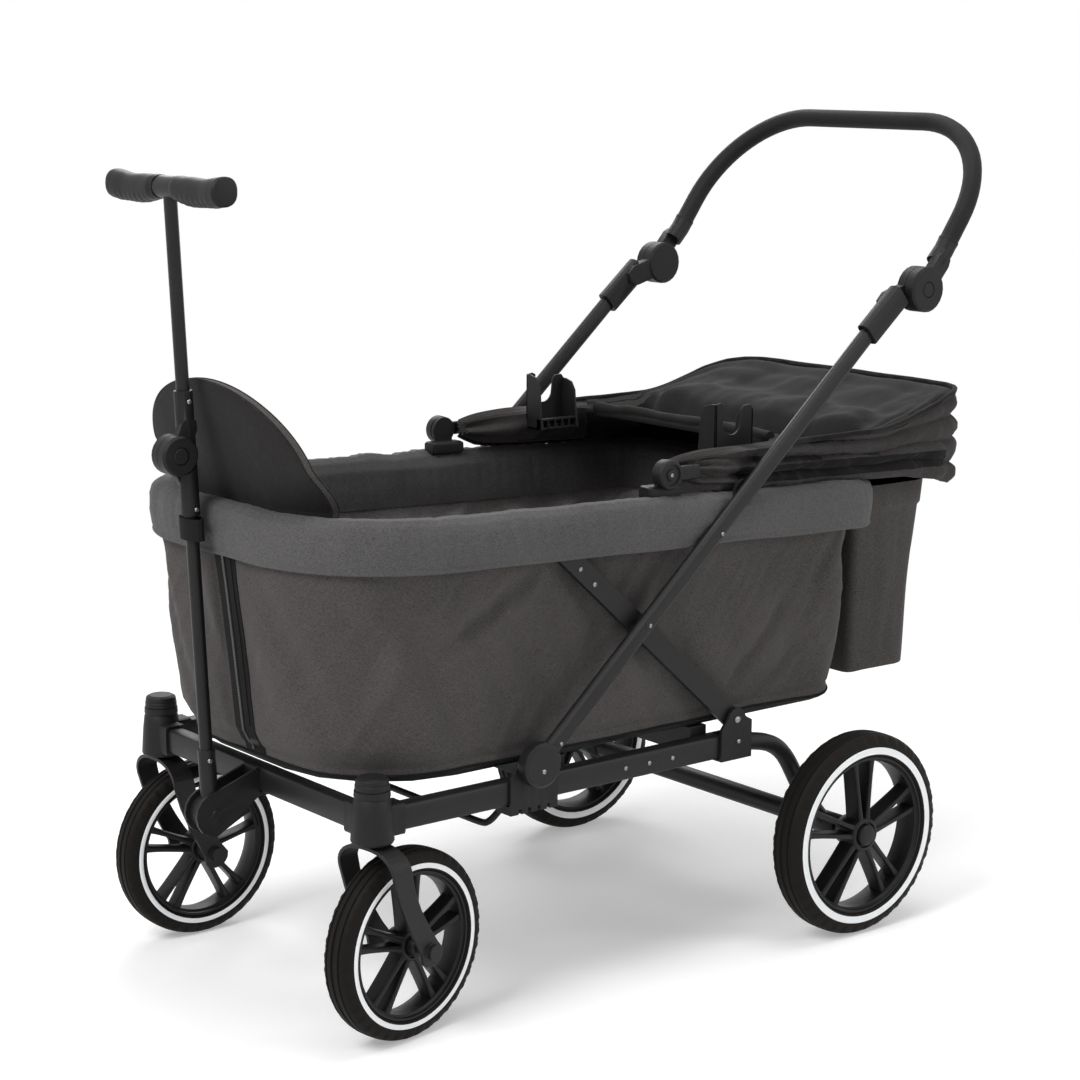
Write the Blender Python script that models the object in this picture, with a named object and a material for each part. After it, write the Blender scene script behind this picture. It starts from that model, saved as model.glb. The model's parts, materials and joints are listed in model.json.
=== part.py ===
"""Folding push and pull wagon: chassis, scissor frame, handles, wheels and soft parts.

Metres, +Z up, floor at z = 0. The front, with the pull handle, faces -X.
The left side is the one at -Y.
"""
from math import atan2, cos, pi, radians, sin

import bmesh
import bpy
from mathutils import Vector

# Overall
OVERALL_LENGTH = 1.296
FRONT_FACE_X = -OVERALL_LENGTH / 2
SEAT_GAP = 0.0003
RUN_GAP = 0.002

# Wheels
REAR_RADIUS = 0.150
REAR_TYRE_WIDTH = 0.0524
REAR_TYRE_DEPTH = 0.033
REAR_TYRE_Y = 0.3252
REAR_AXLE_X = 0.3175
FRONT_RADIUS = 0.128
FRONT_TYRE_WIDTH = 0.0460
FRONT_TYRE_DEPTH = 0.028
WHEEL_SEGMENTS = 24
SPOKE_PAIRS = 5
SPOKE_THICKNESS = 0.0075
SPOKE_DEPTH = 0.026
REAR_HUB_RADIUS = 0.025
FRONT_HUB_RADIUS = 0.021

# Casters
CASTER_BEHIND_FRONT = 0.1495
CASTER_X = FRONT_FACE_X + CASTER_BEHIND_FRONT
CASTER_Y = 0.263
CASTER_TRAIL = 0.055
CASTER_TURN = {"left": radians(9.0), "right": radians(1.0)}
BARREL_TOP = 0.3465
BARREL_BOTTOM = 0.277
BARREL_RADIUS = 0.024
BARREL_FLARE = 0.0045
CAP_HEIGHT = 0.017
CAP_RADIUS = 0.0225
FORK_HALF_WIDTH = 0.050
FORK_THICKNESS = 0.005
FORK_STRIP_WIDTH = 0.032
FORK_END_RADIUS = 0.021
FRONT_AXLE_RADIUS = 0.005
FRONT_NUT_RADIUS = 0.0105
FRONT_NUT_LENGTH = 0.0075

# Chassis
RAIL_Y = 0.263
RAIL_WIDTH = 0.025
RAIL_HEIGHT = 0.035
RAIL_Z = 0.3045
TUBE_EDGE = 0.005
LEG_RADIUS = 0.0125
LEG_DROP_X = 0.2475
AXLE_TUBE_RADIUS = 0.0145
AXLE_ROD_RADIUS = 0.0055
BRACKET_THICKNESS = 0.0052
BRACKET_LENGTH = 0.058
TRAY_THICKNESS = 0.010
TRAY_MARGIN = 0.006
FLOOR_Z = 0.3445
MIDDLE_BAR_X = -0.1875
FLOOR_BAR_HALF = 0.015

# Folding side frame
PIVOT_Z = 0.342
STRUT_ROOT_X = 0.1185
SCISSOR_ARM = 0.245
SCISSOR_ANGLE = radians(41.7)
RIM_PIVOT_REACH = 0.250
STRUT_TOP_BELOW_RIM = 0.0087248
STRUT_WIDTH = 0.030
STRUT_THICKNESS = 0.009
ARM_HEIGHT = 0.026
ARM_THICKNESS = 0.012
ARM_Y = 0.288
FOOT_RADIUS = 0.031
FOOT_THICKNESS = 0.019
BLOCK_LENGTH = 0.080
BLOCK_WALL = 0.004
BLOCK_RIBS = 5
RIVET_RADIUS = 0.004
RELEASE_BAR_RADIUS = 0.005
RELEASE_BAR_DROP = 0.030

# Push handle
COLLAR_REACH = 0.800
COLLAR_LENGTH = 0.084
COLLAR_WALL = 0.005
COLLAR_SOCKET = 0.030
HINGE_BEYOND_COLLAR = 0.120
HINGE_OFFSET = 0.0262
HINGE_RADIUS = 0.033
HINGE_THICKNESS = 0.035
HINGE_BUTTON_RADIUS = 0.0115
HINGE_BUTTON_TRAVEL = 0.004
HANDLE_ANGLE = radians(54.4)
NECK_LENGTH = 0.085
NECK_TURN = radians(4.9)
LOOP_TUBE_RADIUS = 0.0095
FOAM_RADIUS = 0.0140
LOOP_BEND = 0.165
LOOP_STRAIGHT_LEAST = 0.042
FOAM_SIDES = 10

# Pull handle
PULL_PIVOT_Z = 0.268
PULL_BASE_RADIUS = 0.031
PULL_CHEEK_THICKNESS = 0.0042
PULL_TUBE_RADIUS = 0.0088
PULL_SLEEVE_RADIUS = 0.0120
PULL_LEAN = radians(2.93)
PULL_JOINT_REACH = 0.4885
PULL_JOINT_OFFSET = 0.018
PULL_JOINT_RADIUS = 0.0265
PULL_JOINT_THICKNESS = 0.034
PULL_JOINT_SLEEVE = 0.082
PULL_BASE_SLEEVE = 0.088
PULL_SOCKET = 0.030
PULL_BUTTON_RADIUS = 0.0115
PULL_BUTTON_TRAVEL = 0.004
PULL_TOP_REACH = 0.831
GRIP_RADIUS = 0.0185
GRIP_HALF_SPAN = 0.135
GRIP_HUB_RADIUS = 0.0145
STRAP_BELOW_JOINT = 0.114
STRAP_HEIGHT = 0.029
STRAP_HALF_WIDTH = 0.025
STRAP_THICKNESS = 0.0022

# Soft body
RIM_TUBE_RADIUS = 0.011
RIM_HALF_WIDTH = 0.250
RIM_BEHIND_FRONT = 0.1025
RIM_FRONT_X = FRONT_FACE_X + RIM_BEHIND_FRONT
RIM_REAR_X = 0.4005
RIM_FRONT_BEND = 0.160
RIM_REAR_BEND = 0.060
RIM_HEIGHT = 0.6401
RIM_FALL = 0.033
SLEEVE_REACH = 0.0300
SLEEVE_WALL = 0.0055
SLEEVE_DROP_OUTSIDE = 0.036
SLEEVE_DROP_INSIDE = 0.046
SLEEVE_RISE = 0.030
RIM_PLATE_HALF = 0.016
BAG_WALL = 0.006
BAG_TOP_REACH = 0.008
BAG_FRONT_TAPER = 0.036
BAG_REAR_TAPER = 0.040
BAG_SIDE_TAPER = 0.010
PAD_THICKNESS = 0.013
PAD_TOP = 0.849
PAD_BOTTOM = 0.600
PAD_HALF_WIDTH = 0.186
PAD_LEAN = radians(17.5)
PAD_STRAIGHTEN = 0.06
PAD_CLEARANCE = 0.0020
POCKET_DEPTH = 0.168
POCKET_HALF_WIDTH = 0.200
POCKET_BELOW_RIM = 0.0081
POCKET_BOTTOM = 0.345
POCKET_WALL = 0.006
POCKET_TAPER = 0.020

# Canopy, folded back
CANOPY_PIVOT_X = -0.0035
CANOPY_PIVOT_RISE = 0.033
CANOPY_BARREL_RADIUS = 0.021
CANOPY_BARREL_WIDTH = 0.014
CANOPY_HALF_WIDTH = 0.262
CANOPY_REAR_X = 0.6245
CANOPY_BAND = 0.047
CANOPY_COVER_X = 0.2575
CANOPY_CROWN_RISE = 0.1449
CANOPY_TOP = RIM_HEIGHT + CANOPY_CROWN_RISE
CANOPY_COVER_FALL = 0.030
CANOPY_SIDE_ABOVE_HINGE = 0.019
CANOPY_INSIDE_ABOVE_HINGE = 0.017
CANOPY_NARROW = 0.070
CANOPY_COVER_THICKNESS = 0.012
CANOPY_COVER_MIDDLE = 0.016
CANOPY_BAND_THICKNESS = 0.030
CANOPY_FOLDS = 3
CANOPY_FOLD_DEPTH = 0.006
CLIP_LENGTH = 0.094
CLIP_HEIGHT = 0.085
CLIP_DEPTH = 0.036
CLIP_WALL = 0.003
CLIP_CELLS = 5
CLIP_X = 0.1155
CLIP_RISE = 0.0599
CLIP_Z = RIM_HEIGHT + CLIP_RISE

SIDES = {"left": -1.0, "right": 1.0}


def paint(name, colour, roughness, metallic=0.0):
    """Make one plain surface."""
    material = bpy.data.materials.new(name)
    material.use_nodes = True
    surface = material.node_tree.nodes["Principled BSDF"]
    surface.inputs["Base Color"].default_value = (*colour, 1.0)
    surface.inputs["Roughness"].default_value = roughness
    surface.inputs["Metallic"].default_value = metallic
    material.diffuse_color = (*colour, 1.0)
    return material


def finish(name, mesh_data, surface, smooth_angle=35.0):
    """Turn a bmesh into one named object with outward faces."""
    bmesh.ops.remove_doubles(mesh_data, verts=mesh_data.verts, dist=1e-6)
    bmesh.ops.recalc_face_normals(mesh_data, faces=mesh_data.faces)
    mesh = bpy.data.meshes.new(name)
    mesh_data.to_mesh(mesh)
    mesh_data.free()
    mesh.shade_smooth()
    mesh.set_sharp_from_angle(angle=radians(smooth_angle))
    mesh.materials.append(surface)
    piece = bpy.data.objects.new(name, mesh)
    bpy.context.scene.collection.objects.link(piece)
    return piece


def hang_on(piece, empty):
    """Parent a piece to its joint's empty without moving it."""
    piece.parent = empty
    piece.matrix_parent_inverse = empty.matrix_world.inverted()
    return piece


def joint_empty(name, place, parent=None):
    """Make an empty on a joint's axis."""
    empty = bpy.data.objects.new(name, None)
    empty.empty_display_size = 0.03
    bpy.context.scene.collection.objects.link(empty)
    empty.location = place
    bpy.context.view_layer.update()
    if parent is not None:
        empty.parent = parent
        empty.matrix_parent_inverse = parent.matrix_world.inverted()
        bpy.context.view_layer.update()
    return empty


def combine(target, tool, operation):
    """Cut or join with a hidden tool object."""
    step = target.modifiers.new(operation.lower(), "BOOLEAN")
    step.operation = operation
    step.solver = "EXACT"
    step.object = tool
    tool.hide_render = True
    tool.display_type = "WIRE"
    return target


def loft(mesh_data, sections, closed=False):
    """Skin equal loops of points; an open run gets end caps."""
    loops = [[mesh_data.verts.new(point) for point in section] for section in sections]
    pairs = list(zip(loops, loops[1:]))
    if closed:
        pairs.append((loops[-1], loops[0]))
    for first, second in pairs:
        count = len(first)
        for index in range(count):
            after = (index + 1) % count
            mesh_data.faces.new((first[index], first[after], second[after], second[index]))
    if not closed:
        mesh_data.faces.new(loops[0])
        mesh_data.faces.new(loops[-1])
    return mesh_data


def lofted(name, sections, surface, closed=False, smooth_angle=35.0):
    """One solid skinned over the sections."""
    return finish(name, loft(bmesh.new(), sections, closed), surface, smooth_angle)


def block(name, low, high, surface):
    """Box between two corners."""
    corners = [(low[0], low[1]), (high[0], low[1]), (high[0], high[1]), (low[0], high[1])]
    sections = [[Vector((x, y, z)) for x, y in corners] for z in (low[2], high[2])]
    return lofted(name, sections, surface)


def frame_of(axis):
    """Two directions square to an axis; the first lies level where it can."""
    axis = Vector(axis).normalized()
    helper = Vector((0.0, 0.0, 1.0))
    if abs(axis.z) > 0.9:
        helper = Vector((1.0, 0.0, 0.0))
    across = helper.cross(axis).normalized()
    return across, axis.cross(across).normalized()


def turned(name, profile, place, axis, surface, segments=24, ring=False, start=0.0):
    """Turn (height, radius) points round an axis; a ring profile is a closed loop."""
    across, above = frame_of(axis)
    axis = Vector(axis).normalized()
    mesh_data = bmesh.new()
    spokes = []
    for step in range(segments):
        angle = start + 2.0 * pi * step / segments
        out = across * cos(angle) + above * sin(angle)
        spokes.append([mesh_data.verts.new(Vector(place) + axis * height + out * radius)
                       for height, radius in profile])
    count = len(profile)
    for step in range(segments):
        here = spokes[step]
        there = spokes[(step + 1) % segments]
        for index in range(count if ring else count - 1):
            after = (index + 1) % count
            mesh_data.faces.new((here[index], there[index], there[after], here[after]))
    if not ring:
        mesh_data.faces.new([spoke[0] for spoke in spokes])
        mesh_data.faces.new([spoke[-1] for spoke in spokes])
    return finish(name, mesh_data, surface)


def rod(name, start, end, radius, surface, segments=12):
    """Plain round bar between two points."""
    start = Vector(start)
    run = Vector(end) - start
    return turned(name, [(0.0, radius), (run.length, radius)], start, run, surface, segments)


def rounded_box_section(width, height, edge, steps=2):
    """Outline of a rounded rectangle about its middle."""
    points = []
    for quarter, (side, rise) in enumerate(((1, 1), (-1, 1), (-1, -1), (1, -1))):
        centre = Vector((side * (width / 2 - edge), rise * (height / 2 - edge)))
        for step in range(steps + 1):
            angle = quarter * pi / 2 + step * pi / 2 / steps
            points.append(centre + Vector((cos(angle), sin(angle))) * edge)
    return points


def round_section(radius, sides):
    """Outline of a circle; a flat lies at the bottom."""
    turns = [2.0 * pi * (step + 0.5) / sides for step in range(sides)]
    return [Vector((cos(angle), sin(angle))) * radius for angle in turns]


def sweep_sections(path, outline, level, closed=False):
    """Stand the outline square to each point of a path; level is the outline's first side."""
    sections = []
    count = len(path)
    for index, point in enumerate(path):
        before = path[index - 1] if index > 0 or closed else point
        after = path[(index + 1) % count] if index < count - 1 or closed else point
        along = (Vector(after) - Vector(before)).normalized()
        side = Vector(level) if not callable(level) else level(index, along)
        side = (side - along * side.dot(along)).normalized()
        rise = along.cross(side)
        sections.append([Vector(point) + side * spot.x + rise * spot.y for spot in outline])
    return sections


def smooth_path(points, steps):
    """Catmull-Rom curve through the points."""
    points = [Vector(point) for point in points]
    padded = [points[0] * 2 - points[1]] + points + [points[-1] * 2 - points[-2]]
    curve = []
    for index in range(1, len(padded) - 2):
        p0, p1, p2, p3 = padded[index - 1:index + 3]
        for step in range(steps):
            t = step / steps
            curve.append(0.5 * (2 * p1 + (p2 - p0) * t + (2 * p0 - 5 * p1 + 4 * p2 - p3) * t ** 2
                                + (3 * p1 - p0 - 3 * p2 + p3) * t ** 3))
    curve.append(points[-1])
    return curve


def plan_outline(front, rear, half_width, front_bend, rear_bend, steps=6):
    """Plan of the tub, seen from above: wide bends in front and tight ones behind."""
    corners = ((rear, half_width, rear_bend, 0.0), (front, half_width, front_bend, 0.5),
               (front, -half_width, front_bend, 1.0), (rear, -half_width, rear_bend, 1.5))
    points = []
    for x, y, bend, turn in corners:
        centre_x = x - bend if x == rear else x + bend
        centre_y = y - bend if y > 0 else y + bend
        for step in range(steps + 1):
            angle = (turn + 0.5 * step / steps) * pi
            points.append(Vector((centre_x + bend * cos(angle), centre_y + bend * sin(angle))))
    return points


for old_object in list(bpy.data.objects):
    bpy.data.objects.remove(old_object)

FRAME_PAINT = paint("frame black", (0.022, 0.022, 0.023), 0.45, 0.4)
PLASTIC = paint("black plastic", (0.030, 0.030, 0.031), 0.50)
TYRE = paint("tyre rubber", (0.038, 0.036, 0.034), 0.70)
WHEEL = paint("wheel plastic", (0.024, 0.024, 0.025), 0.45)
FABRIC = paint("grey melange cloth", (0.062, 0.058, 0.055), 0.90)
SLEEVE_CLOTH = paint("rim cloth", (0.085, 0.082, 0.078), 0.90)
FOAM = paint("grip foam", (0.034, 0.033, 0.033), 0.75)
STEEL = paint("zinc steel", (0.55, 0.55, 0.56), 0.30, 1.0)
WEBBING = paint("black webbing", (0.016, 0.016, 0.017), 0.85)


# Wheels
def tyre(name, place, axis, radius, width, depth):
    """Tyre with round shoulders and a flat at the bottom of its tread."""
    half = width / 2
    outer = radius / cos(pi / WHEEL_SEGMENTS)
    inner = radius - depth
    profile = [(-half * 0.94, inner), (-half, radius - depth * 0.56), (-half * 0.86, radius - depth * 0.2),
               (-half * 0.45, outer), (half * 0.45, outer), (half * 0.86, radius - depth * 0.2),
               (half, radius - depth * 0.56), (half * 0.94, inner)]
    return turned(name, profile, place, axis, TYRE, WHEEL_SEGMENTS, True, pi / WHEEL_SEGMENTS)


def wheel_body(name, place, axis, bead, width, hub_radius, bore, hub_reach, bore_reach):
    """Deep rim, five pairs of spokes and a hub, joined to one wheel."""
    half = width * 0.42
    rim_outer = bead - SEAT_GAP
    lip = 0.009
    rim = turned(name, [(-half, rim_outer), (-half, rim_outer - lip * 0.6), (-half * 0.3, rim_outer - lip),
                        (half * 0.7, rim_outer - lip * 0.8), (half, rim_outer - lip * 0.4),
                        (half, rim_outer)],
                 place, axis, WHEEL, WHEEL_SEGMENTS, True, pi / WHEEL_SEGMENTS)
    across, above = frame_of(axis)
    axis = Vector(axis).normalized()
    blades = bmesh.new()
    for pair in range(SPOKE_PAIRS):
        middle = pi / 2 + 2 * pi * pair / SPOKE_PAIRS
        for side in (-1, 1):
            loops = []
            for reach, spread, thick, deep in ((hub_radius * 0.85, 0.31, 0.8, 1.0),
                                               (rim_outer - lip * 0.45, 0.155, 1.25, 0.86)):
                angle = middle + side * spread
                out = across * cos(angle) + above * sin(angle)
                tangent = axis.cross(out)
                centre = Vector(place) + out * reach + axis * (half * 0.15)
                t = SPOKE_THICKNESS * thick / 2
                d = min(SPOKE_DEPTH, width * 0.62) * deep / 2
                loops.append([centre + tangent * a * t + axis * b * d
                              for a, b in ((-1, -1), (1, -1), (1, 1), (-1, 1))])
            loft(blades, loops)
    combine(rim, finish(name + " blades", blades, WHEEL), "UNION")
    hub = turned(name + " hub", [(-half, hub_radius * 0.8), (-half * 0.2, hub_radius), (half, hub_radius),
                                 (half + hub_reach * 0.6, hub_radius * 0.86),
                                 (half + hub_reach, hub_radius * 0.62)], place, axis, WHEEL, 16)
    combine(rim, hub, "UNION")
    shaft = turned(name + " bore", [(-half - 0.02, bore), (half + bore_reach, bore)], place, axis, WHEEL, 10)
    return combine(rim, shaft, "DIFFERENCE")


# Chassis
def square_tube(name, start, end, surface):
    """Rail of rounded rectangular tube, level and closed at its ends."""
    section = rounded_box_section(RAIL_WIDTH, RAIL_HEIGHT, TUBE_EDGE)
    along = (Vector(end) - Vector(start)).normalized()
    level = Vector((0, 0, 1)).cross(along)
    return lofted(name, sweep_sections([start, end], section, level), surface)


BARREL_OUTER = BARREL_RADIUS + BARREL_FLARE
RAIL_REAR_X = STRUT_ROOT_X - BRACKET_LENGTH / 2 + 0.004
RAIL_TOP = RAIL_Z + RAIL_HEIGHT / 2
RAIL_OUTER_Y = RAIL_Y + RAIL_WIDTH / 2
FOOT_X = STRUT_ROOT_X - 2 * SCISSOR_ARM * cos(SCISSOR_ANGLE)
CROSS_POINT = Vector((STRUT_ROOT_X - SCISSOR_ARM * cos(SCISSOR_ANGLE), 0.0,
                      PIVOT_Z + SCISSOR_ARM * sin(SCISSOR_ANGLE)))
ARM_ALONG = Vector((cos(SCISSOR_ANGLE), 0.0, sin(SCISSOR_ANGLE)))
ARM_ABOVE = Vector((-sin(SCISSOR_ANGLE), 0.0, cos(SCISSOR_ANGLE)))
STRUT_ALONG = Vector((-cos(SCISSOR_ANGLE), 0.0, sin(SCISSOR_ANGLE)))
ARM_INNER_Y = ARM_Y - ARM_THICKNESS / 2
ARM_OUTER_Y = ARM_Y + ARM_THICKNESS / 2
BLOCK_OUTER_Y = RAIL_OUTER_Y + SEAT_GAP + BLOCK_WALL
STRUT_OUTER_Y = BLOCK_OUTER_Y - BLOCK_WALL - 0.0025
STRUT_MIDDLE_Y = STRUT_OUTER_Y - STRUT_THICKNESS / 2
BRACKET_OUTER_Y = RAIL_OUTER_Y + SEAT_GAP + BRACKET_THICKNESS
FOOT_INNER_Y = ARM_INNER_Y - 0.0003
RIM_PIVOT = CROSS_POINT + ARM_ALONG * RIM_PIVOT_REACH
AXLE_Z = REAR_RADIUS
LEG_Y = RAIL_Y


def caster_housing(side, sign):
    """Flared barrel with two grooves under its cap and sockets for the crossbar and the rail."""
    place = (CASTER_X, sign * CASTER_Y, BARREL_BOTTOM)
    height = BARREL_TOP - BARREL_BOTTOM
    profile = [(0.0, BARREL_OUTER - 0.002), (0.003, BARREL_OUTER),
               (height * 0.55, BARREL_RADIUS + BARREL_FLARE * 0.5),
               (height - 0.012, BARREL_RADIUS), (height - 0.010, BARREL_RADIUS - 0.0015),
               (height - 0.008, BARREL_RADIUS), (height, BARREL_RADIUS - 0.0005)]
    barrel = turned("caster_housing_" + side, profile, place, (0, 0, 1), PLASTIC, 20)
    grow = 0.004
    section = rounded_box_section(RAIL_WIDTH + 2 * grow, RAIL_HEIGHT + 2 * grow, TUBE_EDGE)
    reach = BARREL_OUTER + 0.012
    arms = (("rail socket", Vector((reach, 0, 0)), Vector((0, 1, 0))),
            ("crossbar socket", Vector((0, -sign * reach, 0)), Vector((1, 0, 0))))
    centre = Vector((CASTER_X, sign * CASTER_Y, RAIL_Z))
    for label, run, level in arms:
        socket = lofted("caster_housing_%s %s" % (side, label),
                        sweep_sections([centre, centre + run], section, level), PLASTIC)
        combine(barrel, socket, "UNION")
    for label, run, level in arms:
        inner = rounded_box_section(RAIL_WIDTH + 2 * SEAT_GAP, RAIL_HEIGHT + 2 * SEAT_GAP, TUBE_EDGE)
        unit = run.normalized()
        start = centre + unit * (BARREL_OUTER - 0.002)
        hole = lofted("caster_housing_%s %s hole" % (side, label),
                      sweep_sections([start, centre + run * 1.3], inner, level), PLASTIC)
        combine(barrel, hole, "DIFFERENCE")
    stem = rod("caster_housing_%s stem hole" % side, (place[0], place[1], BARREL_BOTTOM - 0.01),
               (place[0], place[1], BARREL_BOTTOM + 0.040), 0.0085, PLASTIC, 16)
    return combine(barrel, stem, "DIFFERENCE")


def caster_cap(side, sign):
    """Domed lid on the barrel."""
    place = (CASTER_X, sign * CASTER_Y, BARREL_TOP + SEAT_GAP)
    profile = [(0.0, CAP_RADIUS), (CAP_HEIGHT * 0.45, CAP_RADIUS), (CAP_HEIGHT * 0.5, CAP_RADIUS - 0.0015),
               (CAP_HEIGHT * 0.55, CAP_RADIUS - 0.0005), (CAP_HEIGHT * 0.85, CAP_RADIUS - 0.0015),
               (CAP_HEIGHT, CAP_RADIUS - 0.006)]
    return turned("caster_cap_" + side, profile, place, (0, 0, 1), PLASTIC, 20)


def caster_fork(side, sign):
    """Bent strip that arches out over the wheel and comes down to the axle on both sides."""
    turn = CASTER_TURN[side]
    rear = Vector((cos(turn), sin(turn), 0.0))
    out = Vector((sin(turn), -cos(turn), 0.0))
    top = Vector((CASTER_X, sign * CASTER_Y, BARREL_BOTTOM - RUN_GAP - FORK_THICKNESS / 2))
    drop = top.z - FRONT_RADIUS
    stations = []
    for step in range(9):
        turn_out = pi / 2 * step / 8
        stations.append((0.004 * (1 - cos(turn_out)), FORK_HALF_WIDTH * sin(turn_out) ** 0.8,
                         -0.030 * (1 - cos(turn_out)), FORK_STRIP_WIDTH / 2))
    for share in (0.30, 0.52, 0.72, 0.86, 0.95):
        sweep = CASTER_TRAIL * share ** 1.4 + 0.004 * (1 - share)
        stations.append((sweep, FORK_HALF_WIDTH, -0.030 - (drop - 0.030) * share,
                         FORK_STRIP_WIDTH / 2 * (1.0 - 0.12 * sin(pi * share))))
    end = (CASTER_TRAIL, FORK_HALF_WIDTH, -drop, 0.0)
    for step in range(1, 5):
        angle = pi / 2 * step / 4 * 0.98
        stations.append((end[0] + FORK_END_RADIUS * sin(angle) * 0.35, FORK_HALF_WIDTH,
                         end[2] - FORK_END_RADIUS * sin(angle) * 0.94, FORK_END_RADIUS * cos(angle)))
    half = []
    for index, (back, wide, low, half_strip) in enumerate(stations):
        point = top + rear * back + out * wide + Vector((0, 0, low))
        before = stations[max(index - 1, 0)]
        after = stations[min(index + 1, len(stations) - 1)]
        along = rear * (after[0] - before[0]) + out * (after[1] - before[1]) + Vector((0, 0,
                                                                                       after[2] - before[2]))
        along.normalize()
        if index == 0:
            along = out
        normal = rear.cross(along).normalized()
        across = along.cross(normal).normalized()
        half.append((point, across, normal, half_strip))
    sections = []
    mirror = []
    for point, across, normal, half_strip in half:
        corners = [across * a * half_strip + normal * b * FORK_THICKNESS / 2
                   for a, b in ((-1, -1), (1, -1), (1, 1), (-1, 1))]
        sections.append([point + corner for corner in corners])
    for section in sections[1:]:
        flipped = []
        for point in section:
            offset = point - top
            flipped.append(point - out * 2 * offset.dot(out))
        mirror.append(flipped)
    ordered = mirror[::-1] + sections
    fork = lofted("caster_fork_" + side, ordered, FRAME_PAINT)
    stem = rod("caster_fork_%s stem" % side, top, top + Vector((0, 0, 0.038)), 0.008, STEEL, 16)
    combine(fork, stem, "UNION")
    hub_centre = top + rear * CASTER_TRAIL + Vector((0, 0, -drop))
    reach = FORK_HALF_WIDTH + FORK_THICKNESS / 2
    axle = turned("caster_fork_%s axle" % side,
                  [(-reach - FRONT_NUT_LENGTH, FRONT_NUT_RADIUS), (-reach + 0.001, FRONT_NUT_RADIUS),
                   (-reach + 0.001, FRONT_AXLE_RADIUS), (reach - 0.001, FRONT_AXLE_RADIUS),
                   (reach - 0.001, FRONT_NUT_RADIUS), (reach + FRONT_NUT_LENGTH, FRONT_NUT_RADIUS)],
                  hub_centre, out, STEEL, 16)
    combine(fork, axle, "UNION")
    return fork, hub_centre, out


def build_casters():
    """Both swivelling front wheels."""
    for side, sign in SIDES.items():
        caster_housing(side, sign)
        caster_cap(side, sign)
        swivel = joint_empty("caster_swivel_" + side, (CASTER_X, sign * CASTER_Y, BARREL_BOTTOM))
        fork, hub_centre, out = caster_fork(side, sign)
        hang_on(fork, swivel)
        spin = joint_empty("front_wheel_spin_" + side, hub_centre, swivel)
        bead = FRONT_RADIUS - FRONT_TYRE_DEPTH
        hang_on(tyre("front_tyre_" + side, hub_centre, out, FRONT_RADIUS, FRONT_TYRE_WIDTH,
                     FRONT_TYRE_DEPTH), spin)
        hang_on(wheel_body("front_wheel_" + side, hub_centre, out, bead, FRONT_TYRE_WIDTH, FRONT_HUB_RADIUS,
                           FRONT_AXLE_RADIUS + SEAT_GAP, 0.012, 0.02), spin)


def build_rear_wheels():
    """Both large rear wheels on the fixed axle rod."""
    for side, sign in SIDES.items():
        place = (REAR_AXLE_X, sign * REAR_TYRE_Y, AXLE_Z)
        out = (0, sign, 0)
        spin = joint_empty("rear_wheel_spin_" + side, place)
        bead = REAR_RADIUS - REAR_TYRE_DEPTH
        hang_on(tyre("rear_tyre_" + side, place, out, REAR_RADIUS, REAR_TYRE_WIDTH, REAR_TYRE_DEPTH), spin)
        hang_on(wheel_body("rear_wheel_" + side, place, out, bead, REAR_TYRE_WIDTH, REAR_HUB_RADIUS,
                           AXLE_ROD_RADIUS + SEAT_GAP, 0.006, 0.0012), spin)


def build_chassis():
    """Front crossbar, side rails, rear brackets, bent legs, axle and floor bars."""
    inner_end = CASTER_Y - BARREL_OUTER - RUN_GAP * 0.5
    square_tube("front_crossbar", (CASTER_X, -inner_end, RAIL_Z), (CASTER_X, inner_end, RAIL_Z), FRAME_PAINT)
    for side, sign in SIDES.items():
        y = sign * RAIL_Y
        square_tube("side_rail_" + side, (CASTER_X + BARREL_OUTER + RUN_GAP * 0.5, y, RAIL_Z),
                    (RAIL_REAR_X, y, RAIL_Z), FRAME_PAINT)
        rear_bracket(side, sign)
        rear_leg(side, sign)
    half = LEG_Y - LEG_RADIUS - SEAT_GAP
    rod_reach = REAR_TYRE_Y + REAR_TYRE_WIDTH * 0.42 + 0.0008
    turned("rear_axle", [(-rod_reach, AXLE_ROD_RADIUS), (-half, AXLE_ROD_RADIUS), (-half, AXLE_TUBE_RADIUS),
                         (half, AXLE_TUBE_RADIUS), (half, AXLE_ROD_RADIUS), (rod_reach, AXLE_ROD_RADIUS)],
           (REAR_AXLE_X, 0, AXLE_Z), (0, 1, 0), FRAME_PAINT, 20)
    bar_half = RAIL_Y - RAIL_WIDTH / 2 - SEAT_GAP
    tray_low = FLOOR_Z - SEAT_GAP - TRAY_THICKNESS
    rear_bar_x = STRUT_ROOT_X - BRACKET_LENGTH / 2 - FLOOR_BAR_HALF - RUN_GAP
    for label, x in (("middle", MIDDLE_BAR_X), ("rear", rear_bar_x)):
        block("floor_bar_" + label, (x - FLOOR_BAR_HALF, -bar_half, RAIL_Z - 0.010),
              (x + FLOOR_BAR_HALF, bar_half, tray_low - SEAT_GAP), FRAME_PAINT)


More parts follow.
